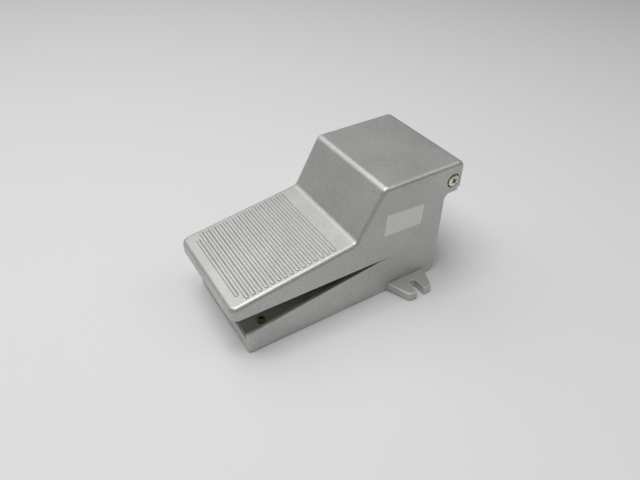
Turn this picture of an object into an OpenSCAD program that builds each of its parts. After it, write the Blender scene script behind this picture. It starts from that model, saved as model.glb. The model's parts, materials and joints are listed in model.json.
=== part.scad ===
// Pneumatic foot valve: a ribbed pedal with a raised hood, hinged on a cast base that holds a spool valve.
// Millimetres. +Z is up, -Y points to the toe, and the origin is on the floor under the middle of the part.

/* [Overall] */
// Length from the toe to the back of the hood
overall_l = 194; // [188:1:204]
// Height of the hood's top above the floor
overall_h = 102; // [100:0.5:108]
// Width over the mounting ears
overall_w = 127; // [122:1:134]
// Width of the pedal over its side walls
pedal_w = 90; // [88:1:100]

/* [Pedal] */
// Height of the treadle's top at the toe
toe_h = 49; // [47:0.5:52]
// Length of the treadle from the toe to the foot of the slope
treadle_l = 99.5; // [94:0.5:104]
// Rise of the treadle towards the hood, in degrees
treadle_tilt = 8.3; // [7:0.1:9.5]
// Steepness of the hood's front slope, in degrees
slope_tilt = 60.7; // [56:0.1:66]
// Thickness of the pedal's walls
pedal_wall = 3; // [2.5:0.1:3.5]
// Depth of the skirt's lower edge below the treadle's top, at the toe
skirt_depth = 10.6; // [10:0.2:12]
// Fall of the skirt's lower edge towards the back, in degrees
skirt_fall = 1.4; // [0.8:0.1:1.8]
// Thickness of the lip along the skirt, which laps over the base
lip_t = 1; // [0.8:0.1:1.4]
// Height of that lip
lip_h = 8; // [7:0.5:10]
// Overhang of the hood behind its side walls' back edge
tail_overhang = 16; // [14:0.5:18]
// Thickness of the hood's back wall
tail_wall = 3.8; // [3:0.1:4.2]
// Depth of the hood's back wall below the top
tail_wall_h = 22; // [20:0.5:23]
// Depth of the hinge ears below the top
hinge_ear_h = 25; // [24:0.5:27]
// Rounding of the pedal's outer edges
edge_r = 3; // [2:0.25:4.5]
// Rounding of the slope's side edges
slope_edge_r = 3; // [1.5:0.25:4]
// Rounding of the toe's corners seen from above
toe_corner_r = 6; // [4:0.5:9]
// Hollow fillet at the foot of the slope
foot_fillet_r = 4; // [2:0.5:6]
// Hollow fillet under the hinge ears
ear_fillet_r = 5; // [3:0.5:7]
// Rounding of the hood's upper back edge
tail_top_r = 6; // [3:0.5:8]
// Rounding of the hood's lower back edges
tail_edge_r = 0.9; // [0.4:0.1:1.5]

/* [Treadle ribs] */
// Number of ribs across the treadle
rib_count = 16; // [10:1:17]
// Distance from rib to rib
rib_pitch = 5.05; // [4.5:0.05:5.2]
// Distance of the first rib from the toe
first_rib = 8.4; // [7:0.1:10]
// Width of a rib
rib_w = 2.4; // [1.4:0.1:2.8]
// Height of a rib
rib_h = 1; // [0.5:0.1:1.4]
// Margin from the ends of the ribs to the pedal's sides
rib_margin = 5; // [4:0.5:8]
// Margin of the first rib, which is shorter
toe_rib_margin = 10.5; // [8:0.5:14]

/* [Hinge] */
// Distance of the hinge from the back of the hood
hinge_back = 9.8; // [9.6:0.1:11]
// Depth of the hinge below the hood's top
hinge_drop = 14.5; // [13:0.1:16]
// Diameter of the hinge screws' heads
hinge_head_d = 9.5; // [8.5:0.1:10]
// Height of the hinge screws' heads
hinge_head_h = 3; // [2.4:0.1:3.4]
// Diameter of the recess round each head
hinge_recess_d = 11.5; // [10.5:0.1:13]
// Depth of that recess
hinge_recess_depth = 2.2; // [2:0.1:3]
// Diameter of the screws' shoulders, on which the pedal turns
hinge_shoulder_d = 6; // [5.6:0.1:6.4]
// Diameter of the screws' threads
hinge_thread_d = 5; // [4:0.1:5.2]
// Wall of the hinge bushes
bush_wall = 1; // [0.8:0.1:1.1]
// Diameter of the hood's hinge bosses
hinge_boss_d = 16; // [14:0.5:18]
// Depth of the hinge bosses, from the pedal's side
hinge_boss_depth = 7.2; // [6.5:0.1:8]
// Thickness of the hinge washers
hinge_washer_t = 0.8; // [0.5:0.1:1.2]
// Outside diameter of the hinge washers
hinge_washer_d = 11; // [10:0.5:12]
// Height of the lock nuts
hinge_nut_h = 4; // [3:0.1:5]
// Width across the lock nuts' flats
hinge_nut_w = 8; // [7:0.1:9]

/* [Base] */
// Overhang of the toe in front of the base
toe_overhang = 9.7; // [9.5:0.1:12]
// Thickness of the base's walls
base_wall = 3; // [2.5:0.1:3.5]
// Thickness of the base's floor
floor_t = 4; // [3.5:0.1:5]
// Height of the side walls at the front
rim_front_h = 18.6; // [16:0.2:18.8]
// Height of the side walls under the hood
rim_rear_h = 36; // [34:0.2:36.4]
// Rise of the side walls' top edge, in degrees
rim_tilt = 8.3; // [7.8:0.1:9.5]
// Height of the front sill
sill_h = 12; // [9:0.5:15]
// Rounding of the side walls' front top corner
rim_corner_r = 3; // [1:0.5:5]
// Rounding of the base's front corners seen from above
base_corner_r = 3; // [1:0.5:5]
// Rounding of the base's lower back corner
heel_r = 5; // [2:0.5:7]
// Step of the base's back edge behind the hood's side walls
heel_step = 0.75; // [0.25:0.25:1.5]
// Thickness of the uprights that carry the hinge
upright_t = 4; // [3:0.1:5]
// Radius of the uprights round the hinge
lug_r = 5.5; // [4.5:0.1:5.6]
// Depth of the uprights from front to back
upright_d = 30; // [24:1:34]

/* [Ears] */
// Thickness of the mounting ears
ear_t = 7; // [5:0.5:10]
// Length of an ear along the base
ear_root_l = 38; // [32:1:44]
// Length of an ear at its tip
ear_tip_l = 21; // [18:1:26]
// Distance of the ears' middle from the base's back
ear_back = 28; // [26:0.5:36]
// Rounding of the ears' tips
ear_r = 3.5; // [1:0.5:5]
// Width of the slot in each ear
slot_w = 6.5; // [5.5:0.1:8.5]
// Length of the slot from the ear's tip
slot_l = 12.5; // [9:0.5:15]

/* [Valve block] */
// Width of the valve block
valve_w = 46; // [44:1:48]
// Depth of the valve block from front to back
valve_d = 50; // [46:1:54]
// Distance of the block's back face from the back of the hood's side walls
valve_setback = 1; // [0:0.5:4]
// Height of the pad under the block
pad_h = 2; // [1:0.5:3]
// Distance of the bore from the block's back face
bore_back = 30; // [27:0.5:33]
// Diameter of the bore
bore_d = 14; // [13.6:0.1:14.4]
// Diameter of the seats for the plug and the guide bush at the ends of the bore
seat_d = 20; // [19:0.2:22]
// Depth of the plug's seat
plug_depth = 6; // [5:0.2:7]
// Depth of the guide bush's seat
guide_depth = 7; // [6.4:0.2:9]
// Tapping diameter of the ports
port_d = 11.8; // [11:0.1:12]
// Depth of the ports
port_depth = 13; // [11:0.5:15]
// Distance from port to port along the bore
port_pitch = 9; // [8:0.1:9.6]
// Distance between the two columns of ports
port_spread = 23; // [19:0.5:24]
// Diameter of the passages between the ports and the bore
passage_d = 6; // [4:0.5:7]
// Diameter of the chambers round the bore
chamber_d = 22; // [20:0.5:24]
// Height of each chamber
chamber_h = 4; // [3:0.2:4.4]

/* [Spool and plunger] */
// Travel of the spool
stroke = 3.9; // [3:0.1:4.2]
// Length of the return spring at rest
spring_l = 10.5; // [10:0.1:12]
// Wire of the return spring
spring_wire = 1.3; // [1:0.1:1.4]
// Outside diameter of the return spring
spring_d = 12; // [11.4:0.1:12.4]
// Turns of the return spring
spring_turns = 4; // [3:0.5:4]
// Diameter of the spool's lands
land_d = 13.2; // [12.6:0.1:13.4]
// Diameter of the spool's necks
neck_d = 7; // [6:0.1:8]
// Thickness of the seal rings' cord
seal_cord = 2; // [1.6:0.1:2.2]
// Diameter of the plunger
plunger_d = 8; // [7:0.1:9]
// Height of the boss that presses the plunger, below the hood's ceiling
presser_h = 7; // [5:0.2:9]
// Rounding of the plunger's top
plunger_dome_r = 12; // [8:0.5:20]
// Diameter of the boss that presses the plunger
presser_d = 14; // [11:0.5:18]
// Height of the spool's end lands
end_land = 3; // [2.6:0.1:4]
// Depth of the spring's seat in the plug
spring_seat_depth = 1.5; // [1:0.1:2]
// Thickness of the retaining clips
clip_t = 1; // [0.8:0.1:1.2]
// Depth of the clips' grooves
clip_groove = 0.6; // [0.4:0.1:1]
// Distance of the clips' grooves from the block's ends
clip_inset = 0.5; // [0.4:0.1:1]
// Reach of the clips over what they hold
clip_reach = 3; // [2:0.1:3.4]
// Thickness of the cord of the rings round the bush and the plug
static_cord = 1.8; // [1.4:0.1:2]
// Wall of the wiper round the plunger
wiper_wall = 2; // [1.4:0.1:2.4]
// Height of the wiper
wiper_h = 2; // [1.4:0.1:2.4]

/* [Screws and feet] */
// Thread of the valve screws
valve_screw_d = 4; // [3:0.1:5]
// Diameter of the valve screws' heads
valve_screw_head_d = 7; // [6:0.1:8]
// Height of the valve screws' heads
valve_screw_head_h = 3.4; // [2.6:0.1:3.6]
// Reach of the valve screws into the block
valve_screw_reach = 9; // [7:0.5:10]
// Distance of the valve screws from the block's edges
valve_screw_margin = 6; // [5:0.25:7]
// Diameter of the rubber feet
foot_d = 14; // [11:0.5:15]
// Depth of the feet in the floor
foot_pocket = 2; // [1.4:0.1:2.4]
// Height of the base above the floor, on its feet
foot_proud = 0.4; // [0.3:0.1:1]
// Thread of the foot screws
foot_screw_d = 3.8; // [3:0.1:4]
// Diameter of the foot screws' heads
foot_head_d = 6.6; // [5.6:0.1:7]
// Height of the foot screws' heads
foot_head_h = 2.2; // [1.6:0.1:2.6]
// Distance of the front feet from the middle
front_foot_x = 23; // [18:0.5:30]
// Distance of the front feet from the base's front
front_foot_back = 20.2; // [14:0.5:26]
// Distance of the rear feet from the base's back
rear_foot_back = 15; // [12:0.5:20]

/* [Label] */
// Length of the label
label_l = 34.5; // [30:0.5:38]
// Height of the label
label_h = 18; // [14:0.5:20]
// Thickness of the label
label_t = 0.2; // [0.1:0.05:0.4]
// Tilt of the label, in degrees
label_tilt = 3.3; // [0:0.1:5]
// Distance of the label's middle from the side walls' back edge
label_back = 37.4; // [30:0.2:40]
// Depth of the label's middle below the hood's top
label_drop = 33.6; // [28:0.2:36]

/* [Clearances] */
// Gap between the pedal's lip and the base
lap_gap = 0.25; // [0.2:0.05:0.4]
// Radial clearance of turning and sliding fits
running_gap = 0.06; // [0.03:0.01:0.1]
// Radial clearance of seated and screwed pieces
seat_gap = 0.1; // [0.05:0.01:0.2]
// Gap between the plunger and the boss that presses it
press_gap = 0.2; // [0.15:0.05:0.3]
// Gap left at each end of the spool's travel
end_gap = 0.3; // [0.2:0.05:0.5]
// Gap between the wiper and the plunger
wiper_gap = 0.3; // [0.1:0.05:0.4]
// Gap round the return spring in its seat
spring_gap = 0.2; // [0.1:0.05:0.4]

/* [Hidden] */
$fn = 64;
sides = [-1, 1];
// Turn of each strip in a rounded corner of an outline, in degrees
strip_turn = 15;
// Overlap of cutting tools and joined shapes past a face
past = 1;
// Offset that keeps two faces of one shape from lying in the same plane
trim = 0.02;
// Rounding of a rib's ends, as a share of its width
rib_end_share = 0.45;
// Proportions of a cross-recess head, the first three to its diameter and the last to its height
head_dome = 0.8;
recess_w = 0.13;
recess_l = 0.56;
recess_depth = 0.55;

// Pedal
toe_y = -overall_l / 2;
tail_y = overall_l / 2;
side_x = pedal_w / 2;
wall_back_y = tail_y - tail_overhang;
treadle_rise = tan(treadle_tilt);
foot_y = toe_y + treadle_l;
foot_z = toe_h + treadle_l * treadle_rise;
brow_y = foot_y + (overall_h - foot_z) / tan(slope_tilt);
ceiling_z = overall_h - pedal_wall;
tail_in_y = tail_y - tail_wall;
inner_foot_shift =
    pedal_wall * (1 / cos(slope_tilt) - 1 / cos(treadle_tilt)) / (tan(slope_tilt) - treadle_rise);
inner_brow_y = foot_y + pedal_wall / sin(slope_tilt) + (ceiling_z - foot_z) / tan(slope_tilt);

// Hinge, with distances along it counted from the middle of the part
hinge_y = tail_y - hinge_back;
hinge_z = overall_h - hinge_drop;
recess_x = side_x - hinge_recess_depth;
boss_x = side_x - hinge_boss_depth;
bush_d = hinge_shoulder_d + 2 * (running_gap + bush_wall);
upright_x = boss_x - hinge_washer_t - 2 * seat_gap;
hinge_nut_x = upright_x - upright_t;
hinge_end_x = hinge_nut_x - hinge_nut_h - past;

// Base
base_w = pedal_w - 2 * (lip_t + lap_gap);
base_front_y = toe_y + toe_overhang;
base_back_y = wall_back_y + heel_step;
inner_x = base_w / 2 - base_wall;
floor_z = foot_proud + floor_t;
rim_bend_y = base_front_y + (rim_rear_h - rim_front_h) / tan(rim_tilt);
upright_back_y = wall_back_y - valve_setback;
upright_front_y = upright_back_y - upright_d;
ear_y = wall_back_y - ear_back;
ear_tip_x = overall_w / 2;
slot_x = ear_tip_x - slot_l + slot_w / 2;

// Valve block
valve_back_y = wall_back_y - valve_setback;
valve_front_y = valve_back_y - valve_d;
bore_y = valve_back_y - bore_back;
valve_z = floor_z + pad_h;
plug_top_z = valve_z + plug_depth;
spring_seat_z = plug_top_z - spring_seat_depth;
spool_z = spring_seat_z + spring_l;
chamber_z = [for (i = [0:4]) spool_z + end_land + chamber_h / 2 + i * port_pitch];
spool_top_z = chamber_z[4] + chamber_h / 2 + stroke + end_land;
guide_z = spool_top_z + end_gap;
valve_top_z = guide_z + guide_depth;
presser_z = ceiling_z - presser_h;
plunger_top_z = presser_z - press_gap;

// Rings on the spool: one at each end, and a pair on each of the two middle lands
seal_pair = port_pitch / 2 + seal_cord / 4;
seal_z = [
    spool_z + end_land / 2, chamber_z[1], chamber_z[1] + seal_pair,
    chamber_z[3], chamber_z[3] + seal_pair, spool_top_z - end_land / 2
];
seal_d = bore_d - 2 * running_gap - seal_cord;
seal_groove_d = seal_d - seal_cord - seat_gap;

// Guide bush, plug and the clips that hold them
clip_d = seat_d + 2 * clip_groove;
clip_in_d = seat_d - 2 * clip_reach;
plug_bottom_z = valve_z + clip_inset + clip_t + seat_gap;
guide_top_z = valve_top_z - clip_inset - clip_t - seat_gap;
static_seal_d = seat_d - 2 * seat_gap - static_cord;
static_groove_d = static_seal_d - static_cord - seat_gap;
guide_seal_z = guide_z + guide_depth / 2 - clip_t;
plug_seal_z = (plug_bottom_z + plug_top_z) / 2;
wiper_d = plunger_d + 2 * wiper_wall;

// Feet, as [x, y]
rear_foot_x = (valve_w / 2 + hinge_nut_x) / 2;
feet = [
    for (s = sides) [s * front_foot_x, base_front_y + front_foot_back],
    for (s = sides) [s * rear_foot_x, base_back_y - rear_foot_back]
];
foot_hole_d = foot_screw_d + 2 * seat_gap;
valve_screw_x = valve_w / 2 - valve_screw_margin;
valve_screw_places = [
    for (s = sides, y = [valve_front_y + valve_screw_margin, valve_back_y - valve_screw_margin])
        [s * valve_screw_x, y]
];
valve_screw_seat_z = foot_proud + valve_screw_head_h + 2 * seat_gap;

coat = [0.66, 0.67, 0.66];
bare_alloy = [0.78, 0.79, 0.80];
zinc = [0.80, 0.79, 0.74];
steel = [0.62, 0.63, 0.65];
brass = [0.72, 0.60, 0.28];
rubber = [0.10, 0.10, 0.10];
label_grey = [0.78, 0.78, 0.76];

// Outlines with rounded corners

function unit(v) = v / norm(v);

// Half of the angle at corner b between its neighbours a and c
function half_angle(a, b, c) = acos(unit(a - b) * unit(c - b)) / 2;

// Points of the arc that rounds corner b, or the corner itself where the radius is nil
function corner_arc(a, b, c, r) =
    r == 0 ? [b] :
    let (half = half_angle(a, b, c),
         centre = b + unit(unit(a - b) + unit(c - b)) * r / sin(half),
         from = b + unit(a - b) * r / tan(half) - centre,
         to = b + unit(c - b) * r / tan(half) - centre,
         sweep = 180 - 2 * half,
         strips = ceil(sweep / strip_turn))
    [for (i = [0:strips])
        let (t = i / strips)
        centre + (from * sin((1 - t) * sweep) + to * sin(t * sweep)) / sin(sweep)];

// Polygon through corners given as [x, y, radius]
module outline(corners) {
    n = len(corners);
    p = [for (c = corners) [c[0], c[1]]];
    polygon([for (i = [0:n - 1]) each corner_arc(p[(i + n - 1) % n], p[i], p[(i + 1) % n], corners[i][2])]);
}

// Solids made from outlines and steps

// Extrudes a side view, drawn as [y, z], across the width w
module across(w) {
    rotate([90, 0, 90]) linear_extrude(w, center = true) children();
}

// Turned piece on the Z axis, from steps of [radius, from, to]
module turned(steps) {
    n = len(steps);
    rotate_extrude()
        polygon(concat([[0, steps[0][1]]],
                       [for (s = steps) each [[s[0], s[1]], [s[0], s[2]]]],
                       [[0, steps[n - 1][2]]]));
}

module hole(d, from, to) {
    translate([0, 0, from]) cylinder(d = d, h = to - from);
}

module sleeve(outer_d, inner_d, from, to) {
    difference() {
        hole(outer_d, from, to);
        hole(inner_d, from - past, to + past);
    }
}

module ring(mid_d, cord, z) {
    translate([0, 0, z]) rotate_extrude() translate([mid_d / 2, 0]) circle(d = cord);
}

// Open retaining clip
module clip(outer_d, inner_d, from, to) {
    difference() {
        sleeve(outer_d, inner_d, from, to);
        translate([0, -outer_d / 2, (from + to) / 2])
            cube([inner_d / 3, outer_d / 2, 2 * (to - from)], center = true);
    }
}

// Domed head with a cross recess, from z = 0 up
module cross_head(d, h) {
    dome_r = head_dome * d;
    slot = [recess_w * d, recess_l * d, recess_depth * h];
    difference() {
        intersection() {
            cylinder(d = d, h = h);
            translate([0, 0, h - dome_r]) sphere(r = dome_r);
        }
        for (turn = [0, 90])
            rotate([0, 0, turn]) translate([-slot[0] / 2, -slot[1] / 2, h - slot[2]]) cube(slot);
    }
}

// Places things on the hinge's axis, with local Z running outwards on that side
module on_hinge() {
    for (s = sides)
        translate([0, hinge_y, hinge_z]) rotate([0, 90 * s, 0]) children();
}

module on_bore() {
    translate([0, bore_y, 0]) children();
}

module at(places) {
    for (p = places) translate([p[0], p[1], 0]) children();
}

// Pedal

function skirt_z(y) = toe_h - skirt_depth - (y - toe_y) * tan(skirt_fall);

// Long bar whose top lies on a plane through [y, z] that rises by tilt, with side edges rounded by r
module rounded_bar(y, z, tilt, r) {
    depth = overall_h;
    translate([0, y, z]) rotate([90 + tilt, 0, 0])
        linear_extrude(3 * overall_l, center = true)
            outline([[-side_x, -depth, 0], [side_x, -depth, 0], [side_x, 0, r], [-side_x, 0, r]]);
}

// Side view of the pedal's outside
module pedal_profile() {
    outline([
        [toe_y, skirt_z(toe_y), 0], [wall_back_y, skirt_z(wall_back_y), 0],
        [wall_back_y, overall_h - hinge_ear_h, ear_fillet_r],
        [tail_in_y, overall_h - hinge_ear_h, tail_edge_r], [tail_in_y, overall_h - tail_wall_h, 0],
        [tail_y, overall_h - tail_wall_h, tail_edge_r], [tail_y, overall_h + trim, tail_top_r],
        [brow_y, overall_h + trim, edge_r], [foot_y, foot_z + trim, 0], [toe_y, toe_h + trim, edge_r]
    ]);
}

// Treadle and hood as far as their rounded side edges go
module rounded_tops() {
    rounded_bar(toe_y, toe_h, treadle_tilt, edge_r);
    intersection() {
        rounded_bar(foot_y, foot_z, slope_tilt, slope_edge_r);
        rounded_bar(0, overall_h, 0, edge_r);
    }
}

module foot_fillet() {
    reach = foot_fillet_r * tan((slope_tilt - treadle_tilt) / 2);
    low = [foot_y - reach * cos(treadle_tilt), foot_z - reach * sin(treadle_tilt)];
    high = [foot_y + reach * cos(slope_tilt), foot_z + reach * sin(slope_tilt)];
    corner = [foot_y, foot_z];
    translate([0, 0, -trim]) across(pedal_w - 2 * edge_r - past)
        polygon(concat(corner_arc(low, corner, high, foot_fillet_r), [[high[0], low[1] - past]]));
}

// Outside of the pedal seen from above
module pedal_plan() {
    x = side_x + trim;
    linear_extrude(overall_h + past)
        outline([
            [-x, toe_y - trim, toe_corner_r], [x, toe_y - trim, toe_corner_r],
            [x, tail_y + trim, edge_r], [-x, tail_y + trim, edge_r]
        ]);
}

module pedal_hollow() {
    front_y = toe_y + pedal_wall;
    across(pedal_w - 2 * pedal_wall)
        polygon([
            [front_y, 0], [tail_in_y, 0], [tail_in_y, ceiling_z], [inner_brow_y, ceiling_z],
            [foot_y + inner_foot_shift,
             foot_z + inner_foot_shift * treadle_rise - pedal_wall / cos(treadle_tilt)],
            [front_y, toe_h + pedal_wall * treadle_rise - pedal_wall / cos(treadle_tilt)]
        ]);
    across(pedal_w - 2 * lip_t)
        polygon([
            [front_y, 0], [tail_in_y, 0],
            [tail_in_y, skirt_z(tail_in_y) + lip_h], [front_y, skirt_z(front_y) + lip_h]
        ]);
}

module treadle_ribs() {
    sunk = pedal_wall / 4;
    for (i = [0:rib_count - 1]) {
        half_l = side_x - (i == 0 ? toe_rib_margin : rib_margin);
        translate([0, toe_y, toe_h]) rotate([treadle_tilt, 0, 0])
            translate([0, first_rib + i * rib_pitch, -sunk])
                linear_extrude(rib_h + sunk)
                    outline([for (c = [[-1, -1], [1, -1], [1, 1], [-1, 1]])
                        [c[0] * half_l, c[1] * rib_w / 2, rib_end_share * rib_w]]);
    }
}

module pedal() {
    color(coat)
        difference() {
            union() {
                difference() {
                    union() {
                        intersection() {
                            across(pedal_w + 2 * past) pedal_profile();
                            rounded_tops();
                            pedal_plan();
                        }
                        foot_fillet();
                        treadle_ribs();
                    }
                    pedal_hollow();
                }
                on_hinge() hole(hinge_boss_d, boss_x, side_x - pedal_wall / 2);
                on_bore() hole(presser_d, presser_z, ceiling_z + pedal_wall / 2);
            }
            on_hinge() hole(hinge_recess_d, recess_x, side_x + past);
            on_hinge() hole(bush_d + 2 * seat_gap, boss_x - past, side_x);
        }
}

// Base

// Outline of an upright, rounded about the hinge
function upright_outline() =
    let (under_lean = 50,
         over_lean = 30,
         below = [cos(under_lean), -sin(under_lean)],
         above = [-sin(over_lean), cos(over_lean)],
         hinge = [hinge_y, hinge_z],
         tip = hinge + lug_r * (below + above) / (1 + below * above),
         low = hinge + lug_r * below,
         high = hinge + lug_r * above,
         shoulder_y = upright_front_y + upright_d / 4)
    [
        [upright_front_y, foot_proud + past, 0], [upright_back_y, foot_proud + past, 0],
        [upright_back_y, low[1] - (low[0] - upright_back_y) / tan(under_lean), 0],
        [tip[0], tip[1], lug_r],
        [shoulder_y, high[1] - (high[0] - shoulder_y) * tan(over_lean), 0],
        [upright_front_y, rim_rear_h + upright_d / 2, 0]
    ];

module base_shell() {
    plan_x = base_w / 2 + trim;
    difference() {
        intersection() {
            across(base_w)
                outline([
                    [base_front_y, foot_proud, 0], [base_back_y, foot_proud, heel_r],
                    [base_back_y, rim_rear_h, 0], [rim_bend_y, rim_rear_h, 0],
                    [base_front_y, rim_front_h, rim_corner_r]
                ]);
            linear_extrude(overall_h)
                outline([
                    [-plan_x, base_front_y - trim, base_corner_r],
                    [plan_x, base_front_y - trim, base_corner_r],
                    [plan_x, base_back_y + past, 0], [-plan_x, base_back_y + past, 0]
                ]);
        }
        translate([-inner_x, base_front_y + base_wall, floor_z]) cube([2 * inner_x, overall_l, overall_h]);
        translate([-inner_x, base_front_y - past, sill_h]) cube([2 * inner_x, overall_l, overall_h]);
    }
}

module ears() {
    for (s = sides)
        mirror([s < 0 ? 1 : 0, 0, 0])
            difference() {
                translate([0, 0, foot_proud]) linear_extrude(ear_t)
                    outline([
                        [inner_x + base_wall / 2, ear_y - ear_root_l / 2, 0],
                        [ear_tip_x, ear_y - ear_tip_l / 2, ear_r], [ear_tip_x, ear_y + ear_tip_l / 2, ear_r],
                        [inner_x + base_wall / 2, ear_y + ear_root_l / 2, 0]
                    ]);
                translate([slot_x, ear_y, 0]) cylinder(d = slot_w, h = foot_proud + ear_t + past);
                translate([slot_x, ear_y - slot_w / 2, 0]) cube([slot_l, slot_w, foot_proud + ear_t + past]);
            }
}

module base() {
    color(coat)
        difference() {
            union() {
                base_shell();
                ears();
                for (s = sides)
                    translate([s * (upright_x - upright_t / 2), 0, 0])
                        across(upright_t) outline(upright_outline());
                translate([-valve_w / 2, valve_front_y, floor_z - past])
                    cube([valve_w, valve_d, pad_h + past]);
            }
            on_hinge() hole(hinge_thread_d + 2 * seat_gap, hinge_nut_x - past, upright_x + past);
            at(feet) hole(foot_d + 2 * seat_gap, foot_proud - past, foot_proud + foot_pocket);
            at(feet) hole(foot_hole_d, foot_proud, floor_z + past);
            at(valve_screw_places)
                hole(valve_screw_head_d + 2 * seat_gap, foot_proud - past, valve_screw_seat_z);
            at(valve_screw_places) hole(valve_screw_d + 2 * seat_gap, foot_proud, valve_z + past);
        }
}

// Hinge pieces

module hinge_screws() {
    head_x = recess_x + seat_gap;
    color(zinc)
        on_hinge() {
            translate([0, 0, head_x]) cross_head(hinge_head_d, hinge_head_h);
            turned([
                [hinge_thread_d / 2, hinge_end_x, upright_x], [hinge_shoulder_d / 2, upright_x, head_x]
            ]);
        }
}

module hinge_bushes() {
    color(brass)
        on_hinge() sleeve(bush_d, hinge_shoulder_d + 2 * running_gap, boss_x, recess_x);
}

module hinge_washers() {
    color(steel)
        on_hinge()
            sleeve(hinge_washer_d, hinge_shoulder_d + 2 * seat_gap,
                   upright_x + seat_gap, upright_x + seat_gap + hinge_washer_t);
}

module hinge_nuts() {
    color(steel)
        on_hinge()
            difference() {
                translate([0, 0, hinge_nut_x - hinge_nut_h])
                    cylinder(d = hinge_nut_w / cos(30), h = hinge_nut_h, $fn = 6);
                hole(hinge_thread_d + 2 * seat_gap, hinge_end_x, upright_x);
            }
}

module label() {
    color(label_grey)
        translate([side_x, wall_back_y - label_back, overall_h - label_drop])
            rotate([-label_tilt, 0, 0])
                translate([0, -label_l / 2, -label_h / 2]) cube([label_t, label_l, label_h]);
}

// Valve

module valve_body() {
    color(bare_alloy)
        difference() {
            translate([-valve_w / 2, valve_front_y, valve_z]) cube([valve_w, valve_d, valve_top_z - valve_z]);
            on_bore() {
                hole(bore_d, valve_z - past, valve_top_z + past);
                hole(seat_d, valve_z - past, plug_top_z);
                hole(seat_d, guide_z, valve_top_z + past);
                hole(clip_d, valve_z + clip_inset, plug_bottom_z);
                hole(clip_d, guide_top_z, valve_top_z - clip_inset);
                for (z = chamber_z) hole(chamber_d, z - chamber_h / 2, z + chamber_h / 2);
            }
            for (i = [0:4])
                translate([(i % 2 == 0 ? -1 : 1) * port_spread / 2, valve_back_y + past, chamber_z[i]])
                    rotate([90, 0, 0]) {
                        cylinder(d = port_d, h = port_depth + past);
                        cylinder(d = passage_d, h = bore_back + past);
                    }
            at(valve_screw_places)
                hole(valve_screw_d + 2 * seat_gap, valve_z - past, valve_z + valve_screw_reach + past);
        }
}

module valve_screws() {
    socket_d = valve_screw_head_d / 2;
    socket_depth = valve_screw_head_h / 2;
    color(steel)
        at(valve_screw_places)
            difference() {
                turned([
                    [valve_screw_head_d / 2, valve_screw_seat_z - valve_screw_head_h, valve_screw_seat_z],
                    [valve_screw_d / 2, valve_screw_seat_z, valve_z + valve_screw_reach]
                ]);
                translate([0, 0, foot_proud]) cylinder(d = socket_d, h = socket_depth, $fn = 6);
            }
}

module spool() {
    land_r = land_d / 2;
    neck_r = neck_d / 2;
    spigot_z = spring_seat_z + stroke + end_gap;
    edge = seal_cord;
    color(steel)
        difference() {
            on_bore()
                turned([
                    [neck_r, spigot_z, spool_z], [land_r, spool_z, spool_z + end_land],
                    [neck_r, spool_z + end_land, seal_z[1] - edge],
                    [land_r, seal_z[1] - edge, seal_z[2] + edge],
                    [neck_r, seal_z[2] + edge, seal_z[3] - edge],
                    [land_r, seal_z[3] - edge, seal_z[4] + edge],
                    [neck_r, seal_z[4] + edge, spool_top_z - end_land],
                    [land_r, spool_top_z - end_land, spool_top_z]
                ]);
            on_bore()
                for (z = seal_z)
                    sleeve(bore_d + past, seal_groove_d,
                           z - seal_cord / 2 - seat_gap, z + seal_cord / 2 + seat_gap);
        }
}

module spool_seals() {
    color(rubber) on_bore() for (z = seal_z) ring(seal_d, seal_cord, z);
}

module plunger() {
    color(steel)
        on_bore()
            intersection() {
                hole(plunger_d, spool_top_z, plunger_top_z);
                union() {
                    translate([0, 0, plunger_top_z - plunger_dome_r]) sphere(r = plunger_dome_r);
                    hole(2 * plunger_d, spool_top_z, plunger_top_z - plunger_dome_r);
                }
            }
}

// Groove for a ring round the guide bush or the plug
module static_groove(z) {
    sleeve(seat_d + past, static_groove_d, z - static_cord / 2 - seat_gap, z + static_cord / 2 + seat_gap);
}

module guide_bush() {
    color(brass)
        on_bore()
            difference() {
                sleeve(seat_d - 2 * seat_gap, plunger_d + 2 * running_gap, guide_z, guide_top_z);
                hole(wiper_d, guide_top_z - wiper_h, guide_top_z + past);
                static_groove(guide_seal_z);
            }
}

module guide_bush_seal() {
    color(rubber) on_bore() ring(static_seal_d, static_cord, guide_seal_z);
}

module guide_bush_clip() {
    color(steel)
        on_bore()
            clip(clip_d - 2 * seat_gap, clip_in_d, guide_top_z, guide_top_z + clip_t);
}

module wiper_seal() {
    color(rubber)
        on_bore()
            sleeve(wiper_d - 2 * seat_gap, plunger_d + 2 * wiper_gap, guide_top_z - wiper_h, guide_top_z);
}

module end_plug() {
    color(bare_alloy)
        on_bore()
            difference() {
                hole(seat_d - 2 * seat_gap, plug_bottom_z, plug_top_z);
                hole(spring_d + 2 * spring_gap, spring_seat_z, plug_top_z + past);
                static_groove(plug_seal_z);
            }
}

module end_plug_seal() {
    color(rubber) on_bore() ring(static_seal_d, static_cord, plug_seal_z);
}

module end_plug_clip() {
    color(steel)
        on_bore()
            clip(clip_d - 2 * seat_gap, clip_in_d, plug_bottom_z - clip_t, plug_bottom_z);
}

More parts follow.
